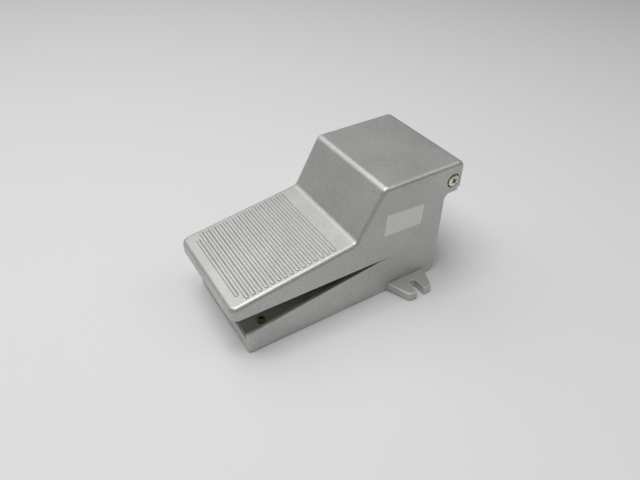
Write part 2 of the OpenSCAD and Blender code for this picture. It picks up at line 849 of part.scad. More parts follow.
// Coil swept as a round wire along a helix
module return_spring() {
    wire_sides = 8;
    turn_rings = 16;
    rings = spring_turns * turn_rings;
    coil_r = (spring_d - spring_wire) / 2;
    low_z = spring_seat_z + spring_wire / 2;
    rise = spring_l - spring_wire - 2 * seat_gap;
    points = [
        for (i = [0:rings], k = [0:wire_sides - 1])
            let (turn = 360 * i / turn_rings,
                 around = 360 * k / wire_sides,
                 r = coil_r + spring_wire / 2 * cos(around))
            [r * cos(turn), r * sin(turn),
             low_z + seat_gap + rise * i / rings + spring_wire / 2 * sin(around)]
    ];
    walls = [
        for (i = [0:rings - 1], k = [0:wire_sides - 1])
            let (a = i * wire_sides + k, b = i * wire_sides + (k + 1) % wire_sides)
            [a, a + wire_sides, b + wire_sides, b]
    ];
    first = [for (k = [0:wire_sides - 1]) k];
    last = [for (k = [0:wire_sides - 1]) rings * wire_sides + wire_sides - 1 - k];
    color(steel) on_bore() polyhedron(points, concat(walls, [first, last]));
}

// Feet

module rubber_feet() {
    color(rubber)
        at(feet) sleeve(foot_d, foot_hole_d, 0, foot_proud + foot_pocket);
}

module foot_screws() {
    color(brass)
        at(feet) {
            translate([0, 0, floor_z]) cross_head(foot_head_d, foot_head_h);
            hole(foot_screw_d, foot_proud, floor_z);
        }
}

base();
pedal();
hinge_screws();
hinge_bushes();
hinge_washers();
hinge_nuts();
label();
valve_body();
valve_screws();
spool();
spool_seals();
plunger();
guide_bush();
guide_bush_seal();
guide_bush_clip();
wiper_seal();
return_spring();
end_plug();
end_plug_seal();
end_plug_clip();
rubber_feet();
foot_screws();
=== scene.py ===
"""Looks of a pneumatic foot valve: a ribbed die-cast pedal on a cast base that holds a spool valve.

Lengths are in metres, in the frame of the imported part: +Z is up, -Y points to the toe, +X to the label.
"""

from __future__ import annotations

import json
import logging
import math
from collections.abc import Callable, Iterable, Sequence
from dataclasses import dataclass
from enum import Enum
from typing import Any, NamedTuple

import bmesh
import bpy
from bmesh.types import BMEdge, BMesh, BMFace, BMVert
from mathutils import Matrix, Vector

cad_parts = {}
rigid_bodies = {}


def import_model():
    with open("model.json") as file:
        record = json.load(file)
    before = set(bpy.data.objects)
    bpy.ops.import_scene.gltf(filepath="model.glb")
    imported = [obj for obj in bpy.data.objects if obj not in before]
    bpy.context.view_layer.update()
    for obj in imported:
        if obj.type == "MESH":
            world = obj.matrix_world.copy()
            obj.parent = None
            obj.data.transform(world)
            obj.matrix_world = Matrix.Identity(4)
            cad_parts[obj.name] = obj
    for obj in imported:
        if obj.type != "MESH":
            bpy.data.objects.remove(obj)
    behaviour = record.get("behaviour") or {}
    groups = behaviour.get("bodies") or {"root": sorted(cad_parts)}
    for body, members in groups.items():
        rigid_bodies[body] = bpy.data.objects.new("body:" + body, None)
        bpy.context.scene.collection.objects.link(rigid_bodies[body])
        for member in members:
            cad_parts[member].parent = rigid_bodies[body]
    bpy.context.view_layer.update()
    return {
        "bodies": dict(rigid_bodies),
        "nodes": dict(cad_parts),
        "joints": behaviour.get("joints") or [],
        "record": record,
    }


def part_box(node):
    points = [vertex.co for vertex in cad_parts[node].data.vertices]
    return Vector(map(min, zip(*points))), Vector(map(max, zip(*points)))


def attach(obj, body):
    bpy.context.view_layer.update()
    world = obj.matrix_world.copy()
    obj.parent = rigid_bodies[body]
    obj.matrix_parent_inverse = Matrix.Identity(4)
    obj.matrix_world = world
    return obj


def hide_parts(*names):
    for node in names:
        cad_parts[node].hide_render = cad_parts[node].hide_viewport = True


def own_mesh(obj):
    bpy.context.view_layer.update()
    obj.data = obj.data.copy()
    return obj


LOG = logging.getLogger("foot_valve")

NEAR = 1e-5
MERGE_DISTANCE = 2e-6
PAST = 0.001
QUARTER_TURN = math.pi / 2
FULL_TURN = 2 * math.pi
SMOOTH_ANGLE = math.radians(32)
ROUND_PROFILE = 0.5
ROUND_STEPS = 7
CREASE_STEPS = 4
FINE_STEPS = 3
TURN_STEPS = 64
HEAD_STEPS = 48
HOLE_STEPS = 32
HEXAGON = 6
LEVEL = 0.2
HALF_WAY = 0.5
SQUARE_ON = 0.9
EDGE_ON = 0.1
IN_PLACE = Matrix.Identity(4)
UP = Vector((0.0, 0.0, 1.0))

Pair = tuple[float, float]
Colour = tuple[float, float, float]
Point = tuple[float, float, float]
Outline = Sequence[tuple[float, ...]]
Box = tuple[Vector, Vector]
Inputs = dict[Any, Any]
Finishes = dict[str, bpy.types.Material]


class Body(Enum):
    """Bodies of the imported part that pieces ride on."""

    BASE = "base_unit"
    PEDAL = "pedal_unit"


class Side(Enum):
    """The two sides of the part, as the sign of X."""

    LEFT = -1
    RIGHT = 1


class Joining(Enum):
    """Ways to join one closed shape to another."""

    ADD = "UNION"
    CUT = "DIFFERENCE"
    COMMON = "INTERSECT"


class Rounding(Enum):
    """What a rounding takes off."""

    EDGES = "EDGES"
    CORNERS = "VERTICES"


# Shaping tools


class Corner(NamedTuple):
    """Corner of a flat outline, with the radius that rounds it."""

    x: float
    y: float
    r: float = 0.0

    @property
    def point(self) -> Vector:
        """The corner before it is rounded."""
        return Vector((self.x, self.y, 0.0))


def across(x: float) -> Matrix:
    """Gives the placement that stands a side view, drawn as (y, z), at x and extrudes it towards +X."""
    return Matrix(((0, 0, 1, x), (1, 0, 0, 0), (0, 1, 0, 0), (0, 0, 0, 1)))


def along_hinge(centre: Vector, side: Side) -> Matrix:
    """Gives the placement whose local Z runs outwards along the hinge's axis, from the middle plane."""
    return Matrix.Translation(centre) @ Matrix.Rotation(side.value * QUARTER_TURN, 4, "Y")


def standing(place: Vector, z: float = 0.0) -> Matrix:
    """Gives the placement of an upright piece, at height z over a point on the ground."""
    return Matrix.Translation((place.x, place.y, z))


def arc(centre: Pair, radius: float, start: float, end: float, steps: int) -> list[Pair]:
    """Lists points along an arc, from one angle to another in radians."""
    angles = [start + (end - start) * i / steps for i in range(steps + 1)]
    return [(centre[0] + radius * math.cos(a), centre[1] + radius * math.sin(a)) for a in angles]


def rectangle(half_l: float, half_w: float, r: float) -> list[Corner]:
    """Lists the corners of a rectangle about the middle, each rounded by r."""
    signs = ((-1, -1), (1, -1), (1, 1), (-1, 1))
    return [Corner(x * half_l, y * half_w, r) for x, y in signs]


def round_off(
    bm: BMesh,
    geom: Iterable[BMEdge | BMVert],
    reach: float,
    steps: int = ROUND_STEPS,
    rounding: Rounding = Rounding.EDGES,
) -> None:
    """Rounds edges, or the corners of a flat face, with arcs.

    Args:
        bm: Mesh to work on.
        geom: Edges or vertices to round.
        reach: Distance from each of them at which its rounding starts.
        steps: Number of strips in a rounding.
        rounding: Whether edges or corners are given.
    """
    bmesh.ops.bevel(
        bm,
        geom=list(geom),
        offset=reach,
        offset_type="OFFSET",
        segments=steps,
        profile=ROUND_PROFILE,
        affect=rounding.value,
        material=-1,
        clamp_overlap=False,
        loop_slide=rounding is Rounding.EDGES,
    )


def plate(outline: Outline, thickness: float, placement: Matrix = IN_PLACE) -> BMesh:
    """Extrudes a flat outline with rounded corners.

    Args:
        outline: Its corners in order, as (x, y) or (x, y, radius).
        thickness: Length of the extrusion along local Z.
        placement: Matrix that takes the plate to its place.

    Returns:
        Closed mesh of the plate.
    """
    corners = [Corner(*item) for item in outline]
    bm = bmesh.new()
    verts = [bm.verts.new(corner.point) for corner in corners]
    bm.faces.new(verts)
    for i, corner in enumerate(corners):
        if not corner.r:
            continue
        arriving = corner.point - corners[i - 1].point
        leaving = corners[(i + 1) % len(corners)].point - corner.point
        turn = arriving.angle(leaving)
        steps = max(2, round(ROUND_STEPS * turn / QUARTER_TURN))
        round_off(bm, [verts[i]], corner.r * math.tan(turn / 2), steps, Rounding.CORNERS)
    grown = bmesh.ops.extrude_face_region(bm, geom=bm.faces[:])
    lifted = [item for item in grown["geom"] if isinstance(item, BMVert)]
    bmesh.ops.translate(bm, verts=lifted, vec=Vector((0.0, 0.0, thickness)))
    bmesh.ops.transform(bm, matrix=placement, verts=bm.verts[:])
    bmesh.ops.recalc_face_normals(bm, faces=bm.faces[:])
    return bm


def slab(outline: Outline, half_w: float) -> BMesh:
    """Extrudes a side view, drawn as (y, z), by a half width to each side of the middle plane."""
    return plate(outline, 2 * half_w, across(-half_w))


def block(low: Iterable[float], high: Iterable[float]) -> BMesh:
    """Makes a block.

    Args:
        low: Its lowest corner.
        high: Its highest corner.

    Returns:
        Closed mesh of the block.
    """
    size = Vector(high) - Vector(low)
    bm = bmesh.new()
    bmesh.ops.create_cube(bm, size=1.0)
    bmesh.ops.scale(bm, vec=size, verts=bm.verts[:])
    bmesh.ops.translate(bm, vec=Vector(low) + size / 2, verts=bm.verts[:])
    return bm


def turned(
    profile: Outline, placement: Matrix = IN_PLACE, steps: int = TURN_STEPS, closed: bool = False
) -> BMesh:
    """Turns a profile about local Z.

    Args:
        profile: Its corners as (radius, height). An open profile starts and ends on the axis.
        placement: Matrix that takes the piece to its place.
        steps: Number of strips in a full turn.
        closed: Whether the profile is a loop that stays clear of the axis.

    Returns:
        Closed mesh of the turned piece.
    """
    bm = bmesh.new()
    verts = [bm.verts.new((radius, 0.0, height)) for radius, height in profile]
    edges = [bm.edges.new(pair) for pair in zip(verts, verts[1:])]
    if closed:
        edges.append(bm.edges.new((verts[-1], verts[0])))
    geom = verts + edges
    bmesh.ops.spin(bm, geom=geom, cent=Vector(), axis=UP, angle=FULL_TURN, steps=steps, use_merge=True)
    bmesh.ops.remove_doubles(bm, verts=bm.verts[:], dist=MERGE_DISTANCE)
    bmesh.ops.transform(bm, matrix=placement, verts=bm.verts[:])
    bmesh.ops.recalc_face_normals(bm, faces=bm.faces[:])
    return bm


def wound(bm: BMesh, centre: Vector, pitch: float, turns: int, steps: int) -> BMesh:
    """Winds the face that a mesh holds into a helix about a line along Z.

    Args:
        bm: Mesh to work on.
        centre: Point on the line.
        pitch: Rise of one turn.
        turns: Number of turns.
        steps: Number of steps in a turn.

    Returns:
        The same mesh, closed.
    """
    rise = UP * (pitch / steps)
    angle = FULL_TURN * turns
    bmesh.ops.spin(bm, geom=bm.faces[:], cent=centre, axis=UP, dvec=rise, angle=angle, steps=steps * turns)
    bmesh.ops.recalc_face_normals(bm, faces=bm.faces[:])
    return bm


def rod(
    radius: float, start: float, end: float, placement: Matrix = IN_PLACE, steps: int = TURN_STEPS
) -> BMesh:
    """Makes a plain round rod along local Z, from one height to another."""
    return turned([(0.0, start), (radius, start), (radius, end), (0.0, end)], placement, steps)


def gather(*shapes: BMesh) -> BMesh:
    """Puts separate shapes into one mesh, and frees them.

    Args:
        shapes: Closed shapes that stay islands of the result.

    Returns:
        Mesh that holds them all.
    """
    bm = bmesh.new()
    for shape in shapes:
        mesh = bpy.data.meshes.new("gathered")
        shape.to_mesh(mesh)
        shape.free()
        bm.from_mesh(mesh)
        bpy.data.meshes.remove(mesh)
    return bm


def placed(shape: BMesh, placement: Matrix) -> BMesh:
    """Copies a shape to another place.

    Args:
        shape: Shape that is copied and kept.
        placement: Matrix that takes the copy to its place.

    Returns:
        The copy.
    """
    bm = shape.copy()
    bmesh.ops.transform(bm, matrix=placement, verts=bm.verts[:])
    return bm


def repeated(shape: BMesh, placements: Iterable[Matrix]) -> BMesh:
    """Copies a shape to several places, and frees it.

    Args:
        shape: The shape.
        placements: Matrices that take the copies to their places.

    Returns:
        Mesh of all the copies.
    """
    copies = [placed(shape, placement) for placement in placements]
    shape.free()
    return gather(*copies)


def combine(shape: BMesh, joining: Joining, *tools: BMesh) -> BMesh:
    """Joins closed shapes to another, one after the other, and frees them.

    Args:
        shape: Shape that is kept or cut.
        joining: Way to join the others to it.
        tools: Shapes that are added, cut away or intersected.

    Returns:
        The joined shape, without doubles.
    """
    for tool in tools:
        items = []
        for bm in (shape, tool):
            mesh = bpy.data.meshes.new("passing")
            bm.to_mesh(mesh)
            bm.free()
            items.append(bpy.data.objects.new("passing", mesh))
            bpy.context.scene.collection.objects.link(items[-1])
        modifier = items[0].modifiers.new("joining", "BOOLEAN")
        modifier.operation = joining.value
        modifier.object = items[1]
        modifier.solver = "EXACT"
        shape = bmesh.new()
        shape.from_object(items[0], bpy.context.evaluated_depsgraph_get())
        for item in items:
            mesh = item.data
            bpy.data.objects.remove(item)
            bpy.data.meshes.remove(mesh)
        bmesh.ops.remove_doubles(shape, verts=shape.verts[:], dist=MERGE_DISTANCE)
        bmesh.ops.dissolve_degenerate(shape, edges=shape.edges[:], dist=MERGE_DISTANCE)
    return shape


def edges_between(
    bm: BMesh, first: Callable[[BMFace], bool], second: Callable[[BMFace], bool]
) -> list[BMEdge]:
    """Finds the edges where two kinds of faces meet, each kind given by its test."""
    joints = [(edge, *edge.link_faces) for edge in bm.edges if len(edge.link_faces) == 2]
    return [edge for edge, a, b in joints if (first(a) and second(b)) or (first(b) and second(a))]


def sharp_edges(bm: BMesh, angle: float, test: Callable[[BMEdge], bool]) -> list[BMEdge]:
    """Finds the outward edges that turn by more than an angle, in radians, and pass a test."""
    outward = [edge for edge in bm.edges if len(edge.link_faces) == 2 and edge.is_convex]
    return [edge for edge in outward if edge.calc_face_angle() > angle and test(edge)]


def standing_edges(bm: BMesh, y: float) -> list[BMEdge]:
    """Finds the upright edges at y."""
    ends = [(edge, edge.verts[0].co, edge.verts[1].co) for edge in bm.edges]
    return [edge for edge, a, b in ends if max(abs(a.x - b.x), abs(a.y - b.y), abs(a.y - y)) < NEAR]


def middle(edge: BMEdge) -> Vector:
    """Gives the middle of an edge."""
    return (edge.verts[0].co + edge.verts[1].co) / 2


def faces_up(face: BMFace) -> bool:
    """Tells whether a face looks upwards."""
    return face.normal.z > LEVEL


def faces_down(face: BMFace) -> bool:
    """Tells whether a face looks downwards."""
    return face.normal.z < -LEVEL


def faces_sideways(face: BMFace) -> bool:
    """Tells whether a face stands upright."""
    return abs(face.normal.z) <= LEVEL


def faces_across(face: BMFace) -> bool:
    """Tells whether a face looks to the left or the right."""
    return abs(face.normal.x) > SQUARE_ON


def faces_along(face: BMFace) -> bool:
    """Tells whether a face looks neither to the left nor to the right."""
    return abs(face.normal.x) < EDGE_ON


def finished(
    name: str, bm: BMesh, finishes: Finishes, slot: str, node: str, body: Body = Body.BASE
) -> bpy.types.Object:
    """Turns a shape into a finished piece of the part.

    Args:
        name: Name of the piece.
        bm: Its shape, which is freed.
        finishes: Materials, by the name of their record slot.
        slot: Record slot that the piece is made of.
        node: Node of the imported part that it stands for.
        body: Body that it rides on.

    Returns:
        The piece's object.
    """
    bmesh.ops.remove_doubles(bm, verts=bm.verts[:], dist=MERGE_DISTANCE)
    bmesh.ops.holes_fill(bm, edges=[edge for edge in bm.edges if edge.is_boundary], sides=0)
    mesh = bpy.data.meshes.new(name)
    bm.to_mesh(mesh)
    bm.free()
    mesh.polygons.foreach_set("use_smooth", [True] * len(mesh.polygons))
    mesh.set_sharp_from_angle(angle=SMOOTH_ANGLE)
    mesh.materials.append(finishes[slot])
    piece = bpy.data.objects.new(name, mesh)
    bpy.context.scene.collection.objects.link(piece)
    weighted = piece.modifiers.new("even_shading", "WEIGHTED_NORMAL")
    weighted.keep_sharp = True
    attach(piece, body.value)
    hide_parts(node)
    LOG.info("%s: %d faces", name, len(mesh.polygons))
    return piece


# Shader effects and finishes

UNIT = (0.0, 1.0)
BROAD = (0.3, 0.7)


class Effect(Enum):
    """Surface effects that several finishes share, by the name of their node group."""

    GRAIN = "fine_grain"
    CLOUDS = "soft_clouds"
    MARKS = "fine_marks"
    # Painted shade: darkens faces by how closed in they are, in creases, hollows and the tray's inside.
    CREASE_SHADE = "crease_grime"
    # Rubbed bright metal on tight outer edges, with a painted highlight: it is kept to edges that face up,
    # where the lamps fall on them.
    WEAR_AND_HIGHLIGHT = "edge_wear"


class Graph:
    """A node tree with short ways to add and link its nodes."""

    def __init__(self, tree: bpy.types.NodeTree) -> None:
        """Starts from an empty tree."""
        self.tree = tree
        tree.nodes.clear()

    def feed(self, node: bpy.types.Node, inputs: Inputs) -> None:
        """Links sockets to a node's inputs, or sets their plain values.

        Args:
            node: Node to feed.
            inputs: Output sockets, numbers or colours, by the name or number of the input.
        """
        for key, source in inputs.items():
            target = node.inputs[key]
            if isinstance(source, bpy.types.NodeSocket):
                self.tree.links.new(source, target)
            elif target.type == "RGBA":
                target.default_value = (*source, 1.0)
            else:
                target.default_value = source

    def add(self, kind: str, inputs: Inputs | None = None, **settings: Any) -> bpy.types.Node:
        """Adds a node.

        Args:
            kind: Blender's name of the node's type.
            inputs: What its inputs take.
            settings: Properties to set on it.

        Returns:
            The node.
        """
        node = self.tree.nodes.new(kind)
        for key, value in settings.items():
            setattr(node, key, value)
        self.feed(node, inputs or {})
        return node

    def product(self, first: Any, second: Any) -> bpy.types.NodeSocket:
        """Multiplies two values."""
        return self.add("ShaderNodeMath", {0: first, 1: second}, operation="MULTIPLY").outputs[0]

    def total(self, first: Any, second: Any) -> bpy.types.NodeSocket:
        """Adds two values."""
        return self.add("ShaderNodeMath", {0: first, 1: second}, operation="ADD").outputs[0]

    def spread(self, value: Any, source: Pair, target: Pair) -> bpy.types.NodeSocket:
        """Maps a value from one range to another, and holds it there."""
        inputs = dict(enumerate((value, *source, *target)))
        return self.add("ShaderNodeMapRange", inputs, clamp=True).outputs[0]

    def blend(self, share: Any, first: Any, second: Any) -> bpy.types.NodeSocket:
        """Mixes two colours, by the share of the second."""
        return self.add("ShaderNodeMix", {0: share, 6: first, 7: second}, data_type="RGBA").outputs[2]

    def mean(self, first: Any, second: Any) -> bpy.types.NodeSocket:
        """Gives the mean of two values."""
        return self.product(self.total(first, second), HALF_WAY)

    def noise(self, where: Any, scale: Any, detail: float = 1.0) -> bpy.types.NodeSocket:
        """Adds a noise pattern, with its scale in features per metre and its number of finer layers."""
        inputs = {"Vector": where, "Scale": scale, "Detail": detail}
        return self.add("ShaderNodeTexNoise", inputs).outputs[0]

    def bump(self, height: Any, strength: float, distance: float, **below: Any) -> bpy.types.NodeSocket:
        """Adds a bump of a depth in metres, on the Normal of a bump below it if one is given."""
        inputs = {"Strength": strength, "Distance": distance, "Height": height, **below}
        return self.add("ShaderNodeBump", inputs).outputs[0]


class EffectMaker:
    """Builds the shared effects, each a node group that is built once."""

    vectors = ("Where", "Stretch")
    soft_detail = 2.0
    flake_scale = 1.6
    openness_samples = 8
    # Range of normal height over which the painted highlight on rubbed edges fades in.
    highlight_facing = (0.05, 0.4)

    def start(self, effect: Effect, inputs: str, outputs: str) -> tuple[Graph, Any, bpy.types.Node]:
        """Starts a group.

        Args:
            effect: Effect that it makes.
            inputs: Names of its inputs, with spaces between them.
            outputs: Names of its outputs, which are values.

        Returns:
            Its graph, the sockets of its input node, and its output node.
        """
        tree = bpy.data.node_groups.new(effect.value, "ShaderNodeTree")
        for label in inputs.split():
            kind = "NodeSocketVector" if label in self.vectors else "NodeSocketFloat"
            tree.interface.new_socket(label, in_out="INPUT", socket_type=kind)
        for label in outputs.split():
            tree.interface.new_socket(label, in_out="OUTPUT", socket_type="NodeSocketFloat")
        graph = Graph(tree)
        return graph, graph.add("NodeGroupInput").outputs, graph.add("NodeGroupOutput")

    def grain(self) -> None:
        """Builds the fine grain of a sprayed, cast or moulded skin, as a Shade about 0.5 and a Height."""
        graph, given, result = self.start(Effect.GRAIN, "Where Scale", "Shade Height")
        soft = graph.noise(given["Where"], given["Scale"], self.soft_detail)
        finer = graph.product(given["Scale"], self.flake_scale)
        flakes = graph.add("ShaderNodeTexVoronoi", {"Vector": given["Where"], "Scale": finer})
        split = graph.add("ShaderNodeSeparateColor", {0: flakes.outputs["Color"]})
        shade = graph.mean(graph.spread(soft, BROAD, UNIT), split.outputs[0])
        graph.feed(result, {"Shade": shade, "Height": soft})

    def pattern(self, effect: Effect, detail: float, shades: Pair) -> None:
        """Builds soft patches such as uneven spray, or fine parallel marks, as a Value from 0 to 1.

        Args:
            effect: Effect that it makes.
            detail: Number of finer layers of its noise.
            shades: Range of the noise that is spread from 0 to 1.
        """
        stretched = effect is Effect.MARKS
        names = "Where Stretch Scale" if stretched else "Where Scale"
        graph, given, result = self.start(effect, names, "Value")
        where = given["Where"]
        if stretched:
            inputs = {0: where, 1: given["Stretch"]}
            where = graph.add("ShaderNodeVectorMath", inputs, operation="MULTIPLY").outputs[0]
        noise = graph.noise(where, given["Scale"], detail)
        graph.feed(result, {"Value": graph.spread(noise, shades, UNIT)})

    def edges(self, effect: Effect, shades: Pair, least: float) -> None:
        """Builds a patchy Mask of painted shade in creases, or of rubbed edges with a painted highlight
        that only edges facing up get, which is 0 on open faces.

        Args:
            effect: Effect that it makes.
            shades: Range of openness over which the mask fades out.
            least: Strength of its weakest patches.
        """
        outer = effect is Effect.WEAR_AND_HIGHLIGHT
        graph, given, result = self.start(effect, "Where Reach Scale", "Mask")
        openness = graph.add(
            "ShaderNodeAmbientOcclusion",
            {"Distance": given["Reach"]},
            samples=self.openness_samples,
            only_local=True,
            inside=outer,
        )
        mask = graph.spread(openness.outputs["AO"], shades, UNIT[::-1])
        if outer:
            normal = graph.add("ShaderNodeNewGeometry").outputs["Normal"]
            facing = graph.add("ShaderNodeSeparateXYZ", {0: normal}).outputs["Z"]
            # Painted highlight: the brightening is faded in by how far the edge faces up.
            mask = graph.product(mask, graph.spread(facing, self.highlight_facing, UNIT))
        noise = graph.noise(given["Where"], given["Scale"], self.soft_detail)
        patches = graph.spread(noise, BROAD, (least, 1.0))
        graph.feed(result, {"Mask": graph.product(mask, patches)})

    def build(self) -> None:
        """Builds all the groups."""
        self.grain()
        self.pattern(Effect.CLOUDS, detail=3.0, shades=(0.32, 0.68))
        self.pattern(Effect.MARKS, detail=4.0, shades=(0.35, 0.65))
        # Painted shade in creases, then rubbed edges with a painted highlight.
        self.edges(Effect.CREASE_SHADE, shades=(0.35, 0.95), least=0.6)
        self.edges(Effect.WEAR_AND_HIGHLIGHT, shades=(0.78, 0.97), least=0.7)


class Surface(Graph):
    """Graph of a material, which reads the piece's own coordinates."""

    def __init__(self, tree: bpy.types.NodeTree) -> None:
        """Starts from the coordinates alone."""
        super().__init__(tree)
        self.where = self.add("ShaderNodeTexCoord").outputs["Object"]

    def effect(self, effect: Effect, **inputs: Any) -> Any:
        """Places a shared effect with its own values, and gives its output sockets."""
        group = bpy.data.node_groups[effect.value]
        return self.add("ShaderNodeGroup", {"Where": self.where, **inputs}, node_tree=group).outputs


@dataclass(frozen=True)
class Finish:
    """Base of the finishes: a material with the name of its record slot."""

    slot: str

    def looks(self, surface: Surface) -> Inputs:
        """Gives what the shader's inputs take, which each finish says for itself."""
        raise NotImplementedError

    def material(self) -> bpy.types.Material:
        """Builds the material.

        Returns:
            The material.
        """
        material = bpy.data.materials.new(self.slot)
        material.use_nodes = True
        surface = Surface(material.node_tree)
        shader = surface.add("ShaderNodeBsdfPrincipled", self.looks(surface))
        surface.add("ShaderNodeOutputMaterial", {"Surface": shader.outputs[0]})
        return material


@dataclass(frozen=True)
class SprayedCoat(Finish):
    """Silver-grey spray with fine metal flakes, on a die casting."""

    slot: str = "silver_coat"
    pale: Colour = (0.66, 0.665, 0.64)
    deep: Colour = (0.46, 0.465, 0.445)
    # Dark painted shade for creases and hollows.
    crease_shade_colour: Colour = (0.20, 0.20, 0.19)
    # Pale rubbed metal with a painted highlight, for edges that face up.
    wear_highlight_colour: Colour = (0.92, 0.92, 0.89)
    metallic: float = 0.6
    roughness: Pair = (0.4, 0.5)
    tones: Pair = (0.1, 1.2)
    grain_scale: float = 900.0
    grain_bump: Pair = (0.25, 0.0001)
    cloud_scale: float = 28.0
    cloud_share: float = 0.35
    # Reach, patch size and share of the painted shade in creases.
    crease_reach: float = 0.0016
    crease_scale: float = 400.0
    crease_share: float = 0.6
    # Reach, patch size and share of the rubbed edges with their painted highlight.
    wear_highlight_reach: float = 0.0009
    wear_highlight_scale: float = 150.0
    wear_highlight_share: float = 0.8
    peel_scale: float = 420.0
    peel_bump: Pair = (0.12, 0.0004)

    def looks(self, surface: Surface) -> Inputs:
        """Sprays uneven flakes over a faint orange peel, with painted shade in creases and rubbed edges
        brightened as a painted highlight where they face up.

        Args:
            surface: Graph of the material.

        Returns:
            What the shader's inputs take.
        """
        grain = surface.effect(Effect.GRAIN, Scale=self.grain_scale)
        clouds = surface.effect(Effect.CLOUDS, Scale=self.cloud_scale)["Value"]
        shade_mask = surface.effect(Effect.CREASE_SHADE, Reach=self.crease_reach, Scale=self.crease_scale)["Mask"]
        wear_highlight = surface.effect(Effect.WEAR_AND_HIGHLIGHT, Reach=self.wear_highlight_reach, Scale=self.wear_highlight_scale)["Mask"]
        mixed = surface.total(surface.product(clouds, self.cloud_share), grain["Shade"])
        tone = surface.blend(surface.spread(mixed, self.tones, UNIT), self.deep, self.pale)
        # Painted shade: closed-in creases and hollows are mixed towards a dark colour.
        coat = surface.blend(surface.product(shade_mask, self.crease_share), tone, self.crease_shade_colour)
        peel = surface.bump(surface.noise(surface.where, self.peel_scale), *self.peel_bump)
        return {
            # Rubbed edges with a painted highlight: edges facing up are mixed towards a pale colour.
            "Base Color": surface.blend(surface.product(wear_highlight, self.wear_highlight_share), coat, self.wear_highlight_colour),
            "Roughness": surface.spread(grain["Shade"], UNIT, self.roughness),
            "Metallic": self.metallic,
            "Normal": surface.bump(grain["Height"], *self.grain_bump, Normal=peel),
        }


@dataclass(frozen=True)
class WorkedMetal(Finish):
    """Plain or plated metal with the marks of turning, milling or a barrel."""

    slot: str = "steel"
    pale: Colour = (0.52, 0.52, 0.52)
    deep: Colour = (0.40, 0.40, 0.40)
    roughness: Pair = (0.22, 0.38)
    stretch: Point = (1.0, 1.0, 30.0)
    mark_scale: float = 220.0
    mark_bump: Pair = (0.3, 0.00003)
    cloud_scale: float = 160.0
    # Reach, patch size, share and tone of the painted shade in creases.
    shade_reach: float = 0.0015
    shade_scale: float = 500.0
    shade_share: float = 0.6
    shade_tone: float = 0.35

    def looks(self, surface: Surface) -> Inputs:
        """Draws fine marks over uneven metal, with painted shade in creases.

        Args:
            surface: Graph of the material.

        Returns:
            What the shader's inputs take.
        """
        marks = surface.effect(Effect.MARKS, Stretch=self.stretch, Scale=self.mark_scale)["Value"]
        clouds = surface.effect(Effect.CLOUDS, Scale=self.cloud_scale)["Value"]
        shade_mask = surface.effect(Effect.CREASE_SHADE, Reach=self.shade_reach, Scale=self.shade_scale)["Mask"]
        tone = surface.blend(surface.mean(marks, clouds), self.deep, self.pale)
        # Painted shade: closed-in creases and hollows are mixed towards this darker colour.
        dark = tuple(self.shade_tone * value for value in self.deep)
        return {
            "Base Color": surface.blend(surface.product(shade_mask, self.shade_share), tone, dark),
            "Roughness": surface.spread(marks, UNIT, self.roughness),
            "Metallic": 1.0,
            "Normal": surface.bump(marks, *self.mark_bump),
        }


@dataclass(frozen=True)
class MouldedRubber(Finish):
    """Matt black rubber with a dusty skin."""

    slot: str = "rubber"
    deep: Colour = (0.018, 0.018, 0.019)
    dusty: Colour = (0.06, 0.058, 0.055)
    roughness: Pair = (0.55, 0.8)
    grain_scale: float = 900.0
    grain_bump: Pair = (0.3, 0.0001)
    cloud_scale: float = 120.0

    def looks(self, surface: Surface) -> Inputs:
        """Lays patchy dust over a grained skin.

        Args:
            surface: Graph of the material.

        Returns:
            What the shader's inputs take.
        """
        grain = surface.effect(Effect.GRAIN, Scale=self.grain_scale)
        clouds = surface.effect(Effect.CLOUDS, Scale=self.cloud_scale)["Value"]
        dust = surface.product(grain["Shade"], clouds)
        return {
            "Base Color": surface.blend(dust, self.deep, self.dusty),
            "Roughness": surface.spread(dust, UNIT, self.roughness),
            "Normal": surface.bump(grain["Height"], *self.grain_bump),
        }


@dataclass(frozen=True)
class LabelFilm(Finish):
    """Pale satin film, left bare."""

    slot: str = "label_film"
    pale: Colour = (0.88, 0.88, 0.865)
    deep: Colour = (0.80, 0.80, 0.785)
    metallic: float = 0.2
    roughness: Pair = (0.34, 0.46)
    grain_scale: float = 1400.0
    cloud_scale: float = 90.0
    wave_scale: float = 110.0
    wave_bump: Pair = (0.15, 0.0006)

    def looks(self, surface: Surface) -> Inputs:
        """Gives the film a faint grain and slack waves.

        Args:
            surface: Graph of the material.

        Returns:
            What the shader's inputs take.
        """
        grain = surface.effect(Effect.GRAIN, Scale=self.grain_scale)
        clouds = surface.effect(Effect.CLOUDS, Scale=self.cloud_scale)["Value"]
        mixed = surface.mean(grain["Shade"], clouds)
        waves = surface.noise(surface.where, self.wave_scale)
        return {
            "Base Color": surface.blend(mixed, self.deep, self.pale),
            "Roughness": surface.spread(clouds, UNIT, self.roughness),
            "Metallic": self.metallic,
            "Normal": surface.bump(waves, *self.wave_bump),
        }


PLATED = ((0.28, 0.42), (1.0, 1.0, 1.0), 600.0)
MILLED = ((0.28, 0.42), (1.0, 1.0, 30.0), 120.0)
TURNED = ((0.25, 0.40), (30.0, 1.0, 1.0), 220.0)
FINISHES: tuple[Finish, ...] = (
    SprayedCoat(),
    WorkedMetal("bare_alloy", (0.60, 0.605, 0.61), (0.48, 0.485, 0.49), *MILLED),
    WorkedMetal("zinc_plate", (0.88, 0.84, 0.71), (0.74, 0.70, 0.58), *PLATED),
    WorkedMetal("steel"),
    WorkedMetal("bronze", (0.58, 0.40, 0.20), (0.44, 0.29, 0.13), *TURNED),
    WorkedMetal("yellow_zinc", (0.38, 0.34, 0.13), (0.24, 0.21, 0.07), *PLATED),
    LabelFilm(),
    MouldedRubber(),
)


# Sub-assemblies


